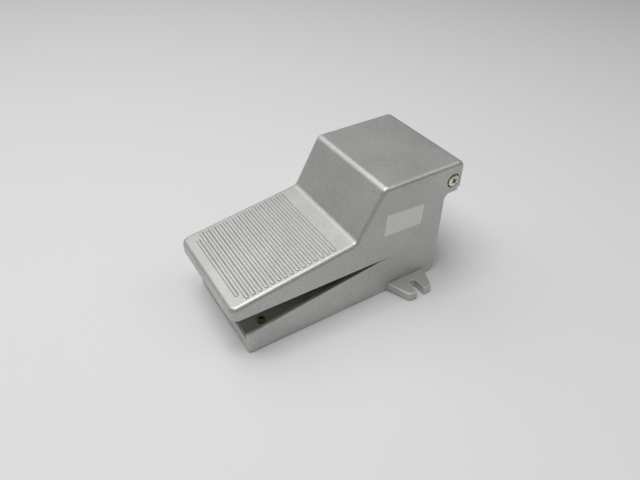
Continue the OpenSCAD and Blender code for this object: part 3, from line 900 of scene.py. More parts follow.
@dataclass
class Layout:
    """Places that several sub-assemblies share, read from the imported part."""

    frame: dict[str, Any]
    seat_gap: float = 0.0001
    press_gap: float = 0.0002
    valve_screw_margin: float = 0.006
    front_foot_x: float = 0.023
    front_foot_back: float = 0.0202
    rear_foot_back: float = 0.015

    def __post_init__(self) -> None:
        """Reads the places."""
        self.pedal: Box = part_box("pedal")
        self.base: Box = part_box("base")
        self.valve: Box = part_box("valve_body")
        self.label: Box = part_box("label")
        self.spring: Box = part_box("return_spring")
        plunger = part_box("plunger")
        hinge = next(item for item in self.frame["joints"] if item["type"] == "hinge")
        self.hinge = Vector(hinge["pos_m"])
        self.bore_y = (plunger[0].y + plunger[1].y) / 2
        self.presser_z = plunger[1].z + self.press_gap
        self.nut_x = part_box("hinge_nuts")[1].x

    def feet(self) -> list[Vector]:
        """Lists where the feet stand.

        Returns:
            Points on the ground.
        """
        rear_x = (self.valve[1].x + self.nut_x) / 2
        front_y = self.base[0].y + self.front_foot_back
        rear_y = self.base[1].y - self.rear_foot_back
        rows = ((self.front_foot_x, front_y), (rear_x, rear_y))
        return [Vector((side.value * x, y, 0.0)) for x, y in rows for side in Side]

    def valve_screws(self) -> list[Vector]:
        """Lists where the valve's screws stand.

        Returns:
            Points on the ground.
        """
        low, high = self.valve
        x = high.x - self.valve_screw_margin
        rows = (low.y + self.valve_screw_margin, high.y - self.valve_screw_margin)
        return [Vector((side.value * x, y, 0.0)) for y in rows for side in Side]

    def ports(self) -> list[Vector]:
        """Lists points on the axes of the valve's threaded ports."""
        mounts = self.frame["record"]["mounts"]
        return [Vector(mount["pos_m"]) for mount in mounts if mount["kind"] == "threaded_hole"]


@dataclass
class PedalCasting:
    """Treadle and hood in one hollow casting."""

    low: Vector
    high: Vector
    hinge: Vector
    bore_y: float
    presser_z: float
    toe_h: float = 0.049
    treadle_l: float = 0.0995
    treadle_tilt: float = math.radians(8.3)
    slope_tilt: float = math.radians(60.7)
    wall: float = 0.003
    skirt_depth: float = 0.0106
    skirt_fall: float = math.radians(1.4)
    skirt_bend_y: float = 0.033
    skirt_rise: float = 0.0018
    skirt_edge_r: float = 0.0004
    lip_t: float = 0.001
    lip_h: float = 0.008
    tail_overhang: float = 0.016
    tail_wall: float = 0.0038
    tail_wall_h: float = 0.022
    ear_h: float = 0.025
    ear_fillet_r: float = 0.005
    roof_r: float = 0.0034
    brow_r: float = 0.0052
    fold_r: float = 0.005
    tail_top_r: float = 0.006
    toe_corner_r: float = 0.0055
    inner_r: float = 0.0018
    ceiling_share: float = 0.9
    boss_r: float = 0.008
    boss_depth: float = 0.0072
    recess_r: float = 0.0057
    recess_depth: float = 0.0022
    recess_flare: float = 0.0001
    bush_r: float = 0.00416
    presser_r: float = 0.007
    rib_count: int = 16
    rib_pitch: float = 0.00496
    first_rib: float = 0.0101
    rib_w: float = 0.00366
    rib_h: float = 0.0009
    rib_lean: float = -0.4
    rib_slant: float = 1.2
    rib_margin: float = 0.004
    toe_rib_margin: float = 0.01
    rib_end_r: float = 0.0017
    rib_top_r: float = 0.0003
    rib_top_edge: float = math.radians(30)
    rib_top_level: float = 0.99

    def __post_init__(self) -> None:
        """Works out the places that follow from the sizes."""
        self.side_x = self.high.x
        self.front_y = self.low.y + self.wall
        self.wall_back_y = self.high.y - self.tail_overhang
        self.tail_in_y = self.high.y - self.tail_wall
        self.foot_y = self.low.y + self.treadle_l
        self.foot_z = self.toe_h + self.treadle_l * math.tan(self.treadle_tilt)
        self.brow_y = self.foot_y + (self.high.z - self.foot_z) / math.tan(self.slope_tilt)

    def skirt_z(self, y: float) -> float:
        """Gives the height of the skirt's straight lower edge at y."""
        return self.toe_h - self.skirt_depth - (y - self.low.y) * math.tan(self.skirt_fall)

    def outside(self) -> BMesh:
        """Shapes the pedal's closed outside.

        Returns:
            Mesh of the pedal before it is hollowed.
        """
        toe_y, tail_y, top_z = self.low.y, self.high.y, self.high.z
        ear_z = top_z - self.ear_h
        tail_z = top_z - self.tail_wall_h
        bm = slab(
            [
                (toe_y, self.skirt_z(toe_y)),
                (self.skirt_bend_y, self.skirt_z(self.skirt_bend_y) + self.skirt_rise),
                (self.wall_back_y, self.skirt_z(self.wall_back_y)),
                (self.wall_back_y, ear_z, self.ear_fillet_r),
                (self.tail_in_y, ear_z),
                (self.tail_in_y, tail_z),
                (tail_y, tail_z),
                (tail_y, top_z, self.tail_top_r),
                (self.brow_y, top_z, self.brow_r),
                (self.foot_y, self.foot_z, self.fold_r),
                (toe_y, self.toe_h),
            ],
            self.side_x,
        )
        round_off(bm, standing_edges(bm, toe_y), self.toe_corner_r)
        round_off(bm, self.roof_edges(bm), self.roof_r)
        round_off(bm, edges_between(bm, self.is_under, self.is_outer_wall), self.skirt_edge_r, FINE_STEPS)
        return bm

    def roof_edges(self, bm: BMesh) -> list[BMEdge]:
        """Finds the edges round the treadle and the hood, down to the end of the tail.

        Args:
            bm: Mesh of the pedal's outside.

        Returns:
            The edges.
        """
        top = edges_between(bm, faces_up, lambda face: faces_sideways(face) and face.normal.y < HALF_WAY)
        tail = edges_between(bm, lambda face: face.normal.y > HALF_WAY, faces_across)
        behind = [edge for edge in tail if middle(edge).y > self.tail_in_y + NEAR and edge not in top]
        return top + behind

    def is_under(self, face: BMFace) -> bool:
        """Tells whether a face closes the pedal's open underside.

        Args:
            face: Face of the pedal's outside.

        Returns:
            Whether it lies below or behind the skirts.
        """
        y = face.calc_center_median().y
        behind = self.wall_back_y - NEAR < y < self.tail_in_y + NEAR and faces_along(face)
        return face.normal.z < -SQUARE_ON or (behind and face.normal.z < EDGE_ON)

    def is_outer_wall(self, face: BMFace) -> bool:
        """Tells whether a face is a standing wall on the pedal's outside."""
        return faces_sideways(face) and not self.is_under(face)

    def hollow(self) -> BMesh:
        """Shapes the hollow under the treadle and the hood.

        Returns:
            Mesh that is cut away.
        """
        ceiling_z = self.high.z - self.wall
        rise = math.tan(self.treadle_tilt)
        drop = self.wall / math.cos(self.treadle_tilt)
        steep = math.tan(self.slope_tilt)
        shift = (self.wall / math.cos(self.slope_tilt) - drop) / (steep - rise)
        brow_y = self.foot_y + self.wall / math.sin(self.slope_tilt) + (ceiling_z - self.foot_z) / steep
        bm = slab(
            [
                (self.front_y, 0.0),
                (self.tail_in_y, 0.0),
                (self.tail_in_y, ceiling_z),
                (brow_y, ceiling_z, self.inner_r),
                (self.foot_y + shift, self.foot_z + shift * rise - drop, self.fold_r + self.wall),
                (self.front_y, self.toe_h + self.wall * rise - drop),
            ],
            self.side_x - self.wall,
        )
        upright = standing_edges(bm, self.front_y) + standing_edges(bm, self.tail_in_y)
        round_off(bm, upright, self.inner_r)
        ceiling = edges_between(bm, faces_up, faces_sideways)
        round_off(bm, ceiling, self.inner_r * self.ceiling_share, CREASE_STEPS)
        return bm

    def lip_hollow(self) -> BMesh:
        """Shapes the wider hollow that leaves the thin lip along the skirt.

        Returns:
            Mesh that is cut away.
        """
        bm = slab(
            [
                (self.front_y, 0.0),
                (self.tail_in_y, 0.0),
                (self.tail_in_y, self.skirt_z(self.tail_in_y) + self.lip_h),
                (self.front_y, self.skirt_z(self.front_y) + self.lip_h),
            ],
            self.side_x - self.lip_t,
        )
        round_off(bm, standing_edges(bm, self.front_y), self.wall)
        return bm

    def bosses(self) -> list[BMesh]:
        """Shapes the hinge bosses and the boss that presses the plunger.

        Returns:
            Meshes that are added.
        """
        inner = self.side_x - self.boss_depth
        outer = self.side_x - self.wall / 2
        at_bore = Matrix.Translation((0.0, self.bore_y, 0.0))
        return [
            *(rod(self.boss_r, inner, outer, along_hinge(self.hinge, side)) for side in Side),
            rod(self.presser_r, self.presser_z, self.high.z - self.wall / 2, at_bore),
        ]

    def hinge_bores(self) -> list[BMesh]:
        """Shapes the stepped bores for the hinge screws' heads and bushes.

        Returns:
            Meshes that are cut away.
        """
        start = self.side_x - self.boss_depth - PAST
        floor = self.side_x - self.recess_depth
        profile = [
            (0.0, start),
            (self.bush_r, start),
            (self.bush_r, floor),
            (self.recess_r, floor),
            (self.recess_r, self.side_x - self.recess_flare),
            (self.recess_r + self.recess_flare + PAST, self.side_x + PAST),
            (0.0, self.side_x + PAST),
        ]
        return [turned(profile, along_hinge(self.hinge, side)) for side in Side]

    def ribs(self) -> BMesh:
        """Shapes the ribs across the treadle.

        Returns:
            Mesh of all the ribs, sunk a little into the treadle.
        """
        sunk = self.wall / 4
        tilt = Matrix.Rotation(self.treadle_tilt, 4, "X")
        lean = Matrix.Shear("XY", 4, (0.0, self.rib_lean))
        on_treadle = Matrix.Translation((0.0, self.low.y, self.toe_h)) @ tilt @ lean
        made = []
        for i in range(self.rib_count):
            half_l = self.side_x - (self.rib_margin if i else self.toe_rib_margin)
            rib = plate(
                rectangle(half_l, self.rib_w / 2, self.rib_end_r),
                self.rib_h + sunk,
                Matrix.Translation((0.0, self.first_rib + i * self.rib_pitch, -sunk)),
            )
            round_off(rib, edges_between(rib, faces_up, faces_sideways), self.rib_h * self.rib_slant, 1)
            top = sharp_edges(rib, self.rib_top_edge, self.is_rib_top)
            round_off(rib, top, self.rib_top_r, FINE_STEPS)
            bmesh.ops.transform(rib, matrix=on_treadle, verts=rib.verts[:])
            made.append(rib)
        return gather(*made)

    def is_rib_top(self, edge: BMEdge) -> bool:
        """Tells whether an edge bounds the flat top of a rib."""
        return any(face.normal.z > self.rib_top_level for face in edge.link_faces)

    def build(self, finishes: Finishes) -> None:
        """Builds the casting.

        Args:
            finishes: Materials, by record slot.
        """
        bm = combine(self.outside(), Joining.CUT, self.hollow(), self.lip_hollow())
        bm = combine(bm, Joining.ADD, *self.bosses())
        bm = combine(bm, Joining.CUT, *self.hinge_bores())
        bm = combine(bm, Joining.ADD, self.ribs())
        finished("pedal_casting", bm, finishes, "silver_coat", "pedal", Body.PEDAL)


@dataclass
class BaseCasting:
    """Tray with slanted side walls, mounting ears and the uprights that carry the hinge."""

    low: Vector
    high: Vector
    hinge: Vector
    valve_low: Vector
    valve_high: Vector
    feet: Sequence[Vector]
    valve_screws: Sequence[Vector]
    half_w: float = 0.04375
    back_y: float = 0.08175
    wall: float = 0.003
    floor_t: float = 0.004
    rim_front_h: float = 0.0186
    rim_rear_h: float = 0.036
    rim_tilt: float = math.radians(8.3)
    rim_corner_r: float = 0.0025
    rim_edge: float = math.radians(50)
    plan_corner_r: float = 0.0024
    plan_trim: float = MERGE_DISTANCE * 4
    heel_r: float = 0.005
    sill_h: float = 0.012
    tray_r: float = 0.0015
    edge_r: float = 0.0006
    ear_y: float = 0.053
    ear_t: float = 0.007
    ear_root_l: float = 0.038
    ear_tip_l: float = 0.021
    ear_r: float = 0.0035
    ear_top_r: float = 0.0012
    ear_top_steps: int = 5
    slot_w: float = 0.0065
    slot_l: float = 0.0125
    slot_flare: float = 0.0006
    slot_steps: int = 16
    foot_edge_r: float = 0.0008
    upright_x: float = 0.0328
    upright_t: float = 0.004
    upright_d: float = 0.03
    lug_r: float = 0.0055
    lug_steps: int = 20
    under_lean: float = math.radians(50)
    over_lean: float = math.radians(30)
    hinge_hole_r: float = 0.0026
    foot_pocket_r: float = 0.0071
    foot_pocket: float = 0.002
    foot_hole_r: float = 0.002
    screw_pocket_r: float = 0.0036
    screw_pocket: float = 0.0036
    screw_hole_r: float = 0.0021

    def __post_init__(self) -> None:
        """Works out the places that follow from the sizes."""
        self.front_y = self.low.y
        self.floor_z = self.low.z + self.floor_t
        self.inner_x = self.half_w - self.wall

    def shell(self) -> BMesh:
        """Shapes the tray with its slanted walls and front sill.

        Returns:
            Mesh of the tray.
        """
        bend_y = self.front_y + (self.rim_rear_h - self.rim_front_h) / math.tan(self.rim_tilt)
        side_view = slab(
            [
                (self.front_y, self.low.z),
                (self.back_y, self.low.z, self.heel_r),
                (self.back_y, self.rim_rear_h),
                (bend_y, self.rim_rear_h),
                (self.front_y, self.rim_front_h, self.rim_corner_r),
            ],
            self.half_w,
        )
        plan_x = self.half_w + self.plan_trim
        plan_y = self.front_y - self.plan_trim
        plan = plate(
            [
                (-plan_x, plan_y, self.plan_corner_r),
                (plan_x, plan_y, self.plan_corner_r),
                (plan_x, self.back_y + PAST),
                (-plan_x, self.back_y + PAST),
            ],
            self.high.z,
        )
        gap = block(
            (-self.inner_x, self.front_y - PAST, self.sill_h),
            (self.inner_x, self.front_y + 2 * self.wall, self.rim_rear_h),
        )
        bm = combine(side_view, Joining.COMMON, plan)
        bm = combine(bm, Joining.CUT, self.tray(), gap)
        bmesh.ops.dissolve_degenerate(bm, edges=bm.edges[:], dist=self.edge_r / 3)
        rims = sharp_edges(bm, self.rim_edge, lambda edge: not self.is_floor_end(edge))
        round_off(bm, rims, self.edge_r, CREASE_STEPS)
        return bm

    def is_floor_end(self, edge: BMEdge) -> bool:
        """Tells whether an edge lies at the rear end of the tray's floor.

        Args:
            edge: Edge of the tray.

        Returns:
            Whether it lies there.
        """
        place = middle(edge)
        inside = abs(place.x) < self.inner_x - NEAR and place.z < self.floor_z + 2 * self.tray_r
        return inside and place.y > self.back_y - self.heel_r

    def tray(self) -> BMesh:
        """Shapes the tray's inside, rounded along its floor.

        Returns:
            Mesh that is cut away.
        """
        bm = block(
            (-self.inner_x, self.front_y + self.wall, self.floor_z),
            (self.inner_x, self.back_y + PAST, self.high.z),
        )
        round_off(bm, edges_between(bm, faces_down, faces_sideways), self.tray_r, CREASE_STEPS)
        return bm

    def ear(self, side: Side) -> BMesh:
        """Shapes a mounting ear with its open slot.

        Args:
            side: Side that the ear stands out from.

        Returns:
            Mesh of the ear.
        """
        root_x = self.half_w - self.wall / 2
        tip_x = self.high.x
        to_place = Matrix.Translation((0.0, self.ear_y, self.low.z))
        bm = plate(
            [
                (root_x, -self.ear_root_l / 2),
                (tip_x, -self.ear_tip_l / 2, self.ear_r),
                (tip_x, self.ear_tip_l / 2, self.ear_r),
                (root_x, self.ear_root_l / 2),
            ],
            self.ear_t,
            to_place,
        )
        round_off(bm, edges_between(bm, faces_up, faces_sideways), self.ear_top_r, self.ear_top_steps)
        round_off(bm, edges_between(bm, faces_down, faces_sideways), self.foot_edge_r, FINE_STEPS)
        bm = combine(bm, Joining.CUT, placed(self.slot(), to_place))
        if side is Side.LEFT:
            bmesh.ops.scale(bm, vec=Vector((-1.0, 1.0, 1.0)), verts=bm.verts[:])
            bmesh.ops.recalc_face_normals(bm, faces=bm.faces[:])
        return bm

    def slot(self) -> BMesh:
        """Shapes the slot of an ear, flared at its mouth.

        Returns:
            Mesh that is cut away.
        """
        tip_x = self.high.x
        half = self.slot_w / 2
        end_x = tip_x - self.slot_l + half
        flare = self.slot_flare
        outline = [
            *arc((end_x, 0.0), half, QUARTER_TURN, 3 * QUARTER_TURN, self.slot_steps),
            (tip_x - flare, -half),
            (tip_x + flare, -half - 2 * flare),
            (tip_x + flare, half + 2 * flare),
            (tip_x - flare, half),
        ]
        return plate(outline, self.ear_t + 2 * PAST, Matrix.Translation((0.0, 0.0, -PAST)))

    def upright(self, side: Side) -> BMesh:
        """Shapes an upright that carries the hinge.

        Args:
            side: Side on which it stands.

        Returns:
            Mesh of the upright.
        """
        back_y = self.valve_high.y
        front_y = back_y - self.upright_d
        shoulder_y = front_y + self.upright_d / 4
        foot_z = self.low.z + PAST
        centre = (self.hinge.y, self.hinge.z)
        lug = arc(centre, self.lug_r, -self.under_lean, math.pi / 2 + self.over_lean, self.lug_steps)
        low, high = Corner(*lug[0]), Corner(*lug[-1])
        inner = self.upright_x if side is Side.RIGHT else -self.upright_x - self.upright_t
        bm = plate(
            [
                (front_y, foot_z),
                (back_y, foot_z),
                (back_y, low.y - (low.x - back_y) / math.tan(self.under_lean)),
                *lug,
                (shoulder_y, high.y - (high.x - shoulder_y) * math.tan(self.over_lean)),
                (front_y, self.rim_rear_h + self.upright_d / 2),
            ],
            self.upright_t,
            across(inner),
        )
        round_off(bm, edges_between(bm, faces_across, faces_along), self.edge_r, FINE_STEPS)
        return bm

    def holes(self) -> list[BMesh]:
        """Shapes the hinge holes and the pockets and holes in the floor.

        Returns:
            Meshes that are cut away.
        """
        made = []
        start, end = self.upright_x - PAST, self.upright_x + self.upright_t + PAST
        for side in Side:
            made.append(rod(self.hinge_hole_r, start, end, along_hinge(self.hinge, side), HOLE_STEPS))
        bottom = self.low.z - PAST
        foot_top = self.low.z + self.foot_pocket
        head_top = self.low.z + self.screw_pocket
        pad_top = self.valve_low.z + PAST
        for place in self.feet:
            made.append(rod(self.foot_pocket_r, bottom, foot_top, standing(place)))
            made.append(rod(self.foot_hole_r, bottom, self.floor_z + PAST, standing(place), HOLE_STEPS))
        for place in self.valve_screws:
            made.append(rod(self.screw_pocket_r, bottom, head_top, standing(place), HOLE_STEPS))
            made.append(rod(self.screw_hole_r, bottom, pad_top, standing(place), HOLE_STEPS))
        return made

    def build(self, finishes: Finishes) -> None:
        """Builds the casting.

        Args:
            finishes: Materials, by record slot.
        """
        pad = block(
            (self.valve_low.x, self.valve_low.y, self.floor_z - PAST),
            (self.valve_high.x, self.valve_high.y, self.valve_low.z),
        )
        ears = [self.ear(side) for side in Side]
        uprights = [self.upright(side) for side in Side]
        bm = combine(self.shell(), Joining.ADD, pad, *ears, *uprights)
        bm = combine(bm, Joining.CUT, *self.holes())
        finished("base_casting", bm, finishes, "silver_coat", "base")


@dataclass(frozen=True)
class CrossHead:
    """Domed screw head with a cross recess, from local Z 0 up."""

    diameter: float
    height: float
    dome_share: float = 1.3
    dome_steps: int = 8
    soft_share: float = 20
    recess_w: float = 0.23
    recess_l: float = 0.66
    recess_depth: float = 0.85
    taper: float = 0.65

    def profile(self) -> list[Pair]:
        """Lists the head's profile, from its underside's rim to the middle of its dome.

        Returns:
            Corners as (radius, height).
        """
        dome_r = self.dome_share * self.diameter
        half = self.diameter / 2
        soft = self.height / self.soft_share
        middle_z = self.height - dome_r
        dome = arc((0.0, middle_z), dome_r, math.acos(half / dome_r), QUARTER_TURN, self.dome_steps)
        return [(half - soft, 0.0), (half, soft), *dome[:-1], (0.0, self.height)]

    def blade(self) -> BMesh:
        """Shapes one tapered blade of the recess.

        Returns:
            Mesh that is cut away.
        """
        half_l = self.recess_l * self.diameter / 2
        half_w = self.recess_w * self.diameter / 2
        depth = self.recess_depth * self.height
        bm = block((-half_l, -half_w, self.height - depth), (half_l, half_w, self.height + depth))
        low = [vert for vert in bm.verts if vert.co.z < self.height]
        bmesh.ops.scale(bm, vec=Vector((self.taper, self.taper, 1.0)), verts=low)
        return bm

    def on_shank(self, shank: Outline) -> BMesh:
        """Shapes the whole screw.

        Args:
            shank: Profile of the shank, from its tip on the axis to the head's underside.

        Returns:
            Mesh of the screw, with the head's underside at local Z 0.
        """
        screw = turned([*shank, *self.profile()], steps=HEAD_STEPS)
        turns = (Matrix.Rotation(turn, 4, "Z") for turn in (0.0, QUARTER_TURN))
        return combine(screw, Joining.CUT, *(placed(self.blade(), turn) for turn in turns))


@dataclass
class HingeHardware:
    """Shoulder screws on which the pedal turns, and their lock nuts."""

    hinge: Vector
    head_x: float
    upright_x: float
    nut_x: float
    head: CrossHead = CrossHead(0.0092, 0.0033)
    head_turn: float = math.radians(24)
    shoulder_r: float = 0.003
    thread_r: float = 0.0025
    nut_w: float = 0.008
    nut_h: float = 0.004
    nut_slope: float = math.tan(math.radians(30))
    nut_hole_r: float = 0.0026
    end_past_nut: float = 0.001
    chamfer: float = 0.0005

    def screw(self) -> BMesh:
        """Shapes a screw along local Z, with its head's underside at 0.

        Returns:
            Mesh of the screw.
        """
        step = self.upright_x - self.head_x
        tip = self.nut_x - self.nut_h - self.end_past_nut - self.head_x
        return self.head.on_shank(
            [
                (0.0, tip),
                (self.thread_r - self.chamfer, tip),
                (self.thread_r, tip + self.chamfer),
                (self.thread_r, step),
                (self.shoulder_r, step),
                (self.shoulder_r, 0.0),
            ]
        )

    def nut(self) -> BMesh:
        """Shapes a chamfered hexagon nut along local Z, in its place on one side.

        Returns:
            Mesh of the nut.
        """
        start, end = self.nut_x - self.nut_h, self.nut_x
        corner_r = self.nut_w / math.sqrt(3)
        slim = self.nut_w / 2
        drop = (corner_r - slim) * self.nut_slope
        lens = turned(
            [
                (0.0, start),
                (slim, start),
                (corner_r + PAST, start + drop + PAST * self.nut_slope),
                (corner_r + PAST, end - drop - PAST * self.nut_slope),
                (slim, end),
                (0.0, end),
            ]
        )
        hole = turned(
            [
                (0.0, start - PAST),
                (self.nut_hole_r + self.chamfer + PAST, start - PAST),
                (self.nut_hole_r, start + self.chamfer),
                (self.nut_hole_r, end + PAST),
                (0.0, end + PAST),
            ],
            steps=HOLE_STEPS,
        )
        bm = combine(rod(corner_r, start, end, steps=HEXAGON), Joining.COMMON, lens)
        return combine(bm, Joining.CUT, hole)

    def build(self, finishes: Finishes) -> None:
        """Builds the screws and the nuts.

        Args:
            finishes: Materials, by record slot.
        """
        sides = [along_hinge(self.hinge, side) for side in Side]
        out = Matrix.Translation((0.0, 0.0, self.head_x)) @ Matrix.Rotation(self.head_turn, 4, "Z")
        screws = repeated(self.screw(), [side @ out for side in sides])
        finished("hinge_screw_pair", screws, finishes, "zinc_plate", "hinge_screws")
        finished("hinge_nut_pair", repeated(self.nut(), sides), finishes, "steel", "hinge_nuts")


@dataclass
class Feet:
    """Rubber feet and the screws that hold them."""

    places: Sequence[Vector]
    base_z: float
    floor_z: float
    pocket: float = 0.002
    radius: float = 0.007
    hole_r: float = 0.002
    edge: float = 0.0008
    head: CrossHead = CrossHead(0.0066, 0.0022)
    head_turn: float = math.radians(35)
    thread_r: float = 0.0019

    def foot(self) -> BMesh:
        """Shapes a foot over the origin.

        Returns:
            Mesh of the foot.
        """
        height = self.base_z + self.pocket
        outer = self.radius - self.edge
        profile = [
            (self.hole_r, self.edge / 2),
            (self.hole_r + self.edge, 0.0),
            *arc((outer, self.edge), self.edge, -QUARTER_TURN, 0.0, CREASE_STEPS),
            (self.radius, height),
            (self.hole_r, height),
        ]
        return turned(profile, steps=HEAD_STEPS, closed=True)

    def build(self, finishes: Finishes) -> None:
        """Builds the feet and their screws.

        Args:
            finishes: Materials, by record slot.
        """
        tip = self.base_z - self.floor_z
        screw = self.head.on_shank([(0.0, tip), (self.thread_r, tip), (self.thread_r, 0.0)])
        turns = [Matrix.Rotation(self.head_turn * (i + 1), 4, "Z") for i in range(len(self.places))]
        on_floor = [standing(place, self.floor_z) @ turn for place, turn in zip(self.places, turns)]
        feet = repeated(self.foot(), [standing(place) for place in self.places])
        finished("rubber_foot_set", feet, finishes, "rubber", "rubber_feet")
        finished("foot_screw_set", repeated(screw, on_floor), finishes, "yellow_zinc", "foot_screws")


@dataclass
class ValveBlock:
    """Machined block with its bore and threaded ports, and the screws that hold it."""

    low: Vector
    high: Vector
    base_z: float
    bore_y: float
    ports: Sequence[Vector]
    screws: Sequence[Vector]
    chamfer: float = 0.0008
    bore_r: float = 0.007
    seat_r: float = 0.01
    groove_r: float = 0.0106
    plug_depth: float = 0.006
    guide_depth: float = 0.007
    groove_in: float = 0.0005
    groove_h: float = 0.0011
    chamber_r: float = 0.011
    chamber_h: float = 0.004
    port_depth: float = 0.013
    port_cone: float = 0.0015
    passage_r: float = 0.003
    thread_r: float = 0.0065
    thread_tip_r: float = 0.0059
    thread_pitch: float = 0.00134
    thread_share: float = 0.46
    thread_sunk: float = MERGE_DISTANCE * 10
    thread_turns: int = 8
    thread_steps: int = 36
    screw_r: float = 0.002
    screw_hole_r: float = 0.0021
    screw_reach: float = 0.009
    screw_steps: int = 40
    head_r: float = 0.0035
    head_h: float = 0.0034
    head_in: float = 0.0002
    socket_r: float = 0.00175
    socket_depth: float = 0.0019

    def bore(self) -> BMesh:
        """Shapes the stepped bore with its chambers.

        Returns:
            Mesh that is cut away.
        """
        low_z, high_z = self.low.z, self.high.z
        groove_low = low_z + self.groove_in
        groove_high = high_z - self.groove_in
        level = low_z + self.plug_depth
        steps = [
            (self.seat_r, low_z - PAST, groove_low),
            (self.groove_r, groove_low, groove_low + self.groove_h),
            (self.seat_r, groove_low + self.groove_h, level),
        ]
        for z in sorted(port.z for port in self.ports):
            steps.append((self.bore_r, level, z - self.chamber_h / 2))
            level = z + self.chamber_h / 2
            steps.append((self.chamber_r, z - self.chamber_h / 2, level))
        steps += [
            (self.bore_r, level, high_z - self.guide_depth),
            (self.seat_r, high_z - self.guide_depth, groove_high - self.groove_h),
            (self.groove_r, groove_high - self.groove_h, groove_high),
            (self.seat_r, groove_high, high_z + PAST),
        ]
        wall = [(radius, z) for radius, *ends in steps for z in ends]
        profile = [(0.0, low_z - PAST), *wall, (0.0, high_z + PAST)]
        return turned(profile, Matrix.Translation((0.0, self.bore_y, 0.0)))

    def port(self) -> BMesh:
        """Shapes a port with its mouth at local Z 0, and the passage to the bore.

        Returns:
            Mesh that is cut away.
        """
        end = self.bore_y - self.high.y
        profile = [
            (0.0, end),
            (self.passage_r, end),
            (self.passage_r, -self.port_depth - self.port_cone),
            (self.thread_r, -self.port_depth),
            (self.thread_r, -self.chamfer),
            (self.thread_r + self.chamfer + PAST, PAST),
            (0.0, PAST),
        ]
        return turned(profile)

    def thread(self) -> BMesh:
        """Shapes a port's thread as one ridge along a helix.

        Returns:
            Closed mesh of the ridge.
        """
        start = -self.port_depth + self.thread_pitch / 2
        half = self.thread_pitch * self.thread_share
        root = self.thread_r + self.thread_sunk
        bm = bmesh.new()
        corners = ((root, -half), (self.thread_tip_r, 0.0), (root, half))
        bm.faces.new([bm.verts.new((radius, 0.0, start + height)) for radius, height in corners])
        return wound(bm, Vector(), self.thread_pitch, self.thread_turns, self.thread_steps)

    def cap_screw(self) -> BMesh:
        """Shapes a socket screw, head down.

        Returns:
            Mesh of the screw.
        """
        head_low = self.base_z + self.head_in
        seat = head_low + self.head_h
        tip = self.low.z + self.screw_reach
        profile = [
            (0.0, head_low),
            (self.head_r - self.chamfer / 2, head_low),
            (self.head_r, head_low + self.chamfer / 2),
            (self.head_r, seat),
            (self.screw_r, seat),
            (self.screw_r, tip),
            (0.0, tip),
        ]
        socket = rod(self.socket_r, head_low - PAST, head_low + self.socket_depth, steps=HEXAGON)
        return combine(turned(profile, steps=self.screw_steps), Joining.CUT, socket)

    def build(self, finishes: Finishes) -> None:
        """Builds the block, its port threads and its screws.

        Args:
            finishes: Materials, by record slot.
        """
        bm = block(self.low, self.high)
        round_off(bm, bm.edges[:], self.chamfer, 1)
        turn = Matrix.Rotation(-QUARTER_TURN, 4, "X")
        mouths = [Matrix.Translation((port.x, self.high.y, port.z)) @ turn for port in self.ports]
        port = self.port()
        bm = combine(bm, Joining.CUT, self.bore(), *(placed(port, mouth) for mouth in mouths))
        port.free()
        start, end = self.low.z - PAST, self.low.z + self.screw_reach + PAST
        places = [standing(place) for place in self.screws]
        holes = [rod(self.screw_hole_r, start, end, place, HOLE_STEPS) for place in places]
        bm = combine(bm, Joining.CUT, *holes)
        bm = gather(bm, repeated(self.thread(), mouths))
        finished("valve_block", bm, finishes, "bare_alloy", "valve_body")
        finished("valve_screw_set", repeated(self.cap_screw(), places), finishes, "steel", "valve_screws")


@dataclass
class ReturnSpring:
    """Coil spring under the spool, which shortens as the spool goes down."""

    low: Vector
    high: Vector
    wire_r: float = 0.00065
    wire_steps: int = 12
    turns: int = 4
    turn_steps: int = 32
    stroke: float = 0.0039

    def coil(self) -> BMesh:
        """Winds the wire.

        Returns:
            The coil, standing on its seat.
        """
        centre = (self.low + self.high) / 2
        coil_r = (self.high.x - self.low.x) / 2 - self.wire_r
        start = Matrix.Translation((centre.x + coil_r, centre.y, self.low.z + self.wire_r))
        across_wire = start @ Matrix.Rotation(QUARTER_TURN, 4, "X")
        pitch = (self.high.z - self.low.z - 2 * self.wire_r) / self.turns
        bm = bmesh.new()
        bmesh.ops.create_circle(
            bm, cap_ends=True, segments=self.wire_steps, radius=self.wire_r, matrix=across_wire
        )
        return wound(bm, centre, pitch, self.turns, self.turn_steps)

    def build(self, finishes: Finishes) -> None:
        """Builds the spring, with a mesh of its own.

        Args:
            finishes: Materials, by record slot.
        """
        piece = finished("return_coil", self.coil(), finishes, "steel", "return_spring")
        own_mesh(piece)


@dataclass
class Label:
    """Bare film label on the hood's side."""

    low: Vector
    high: Vector
    length: float = 0.0345
    height: float = 0.018
    corner_r: float = 0.0009
    tilt: float = math.radians(3.3)

    def build(self, finishes: Finishes) -> None:
        """Builds the label.

        Args:
            finishes: Materials, by record slot.
        """
        centre = (self.low + self.high) / 2
        outline = rectangle(self.length / 2, self.height / 2, self.corner_r)
        turn = Matrix.Rotation(-self.tilt, 4, "X")
        on_side = Matrix.Translation((self.low.x, centre.y, centre.z)) @ turn @ across(0.0)
        bm = plate(outline, self.high.x - self.low.x, on_side)
        finished("side_label", bm, finishes, "label_film", "label", Body.PEDAL)


INNER_NODES = {
    "bronze": ("hinge_bushes", "guide_bush"),
    "steel": ("hinge_washers", "spool", "plunger", "guide_bush_clip", "end_plug_clip"),
    "bare_alloy": ("end_plug",),
    "rubber": ("spool_seals", "guide_bush_seal", "wiper_seal", "end_plug_seal"),
}


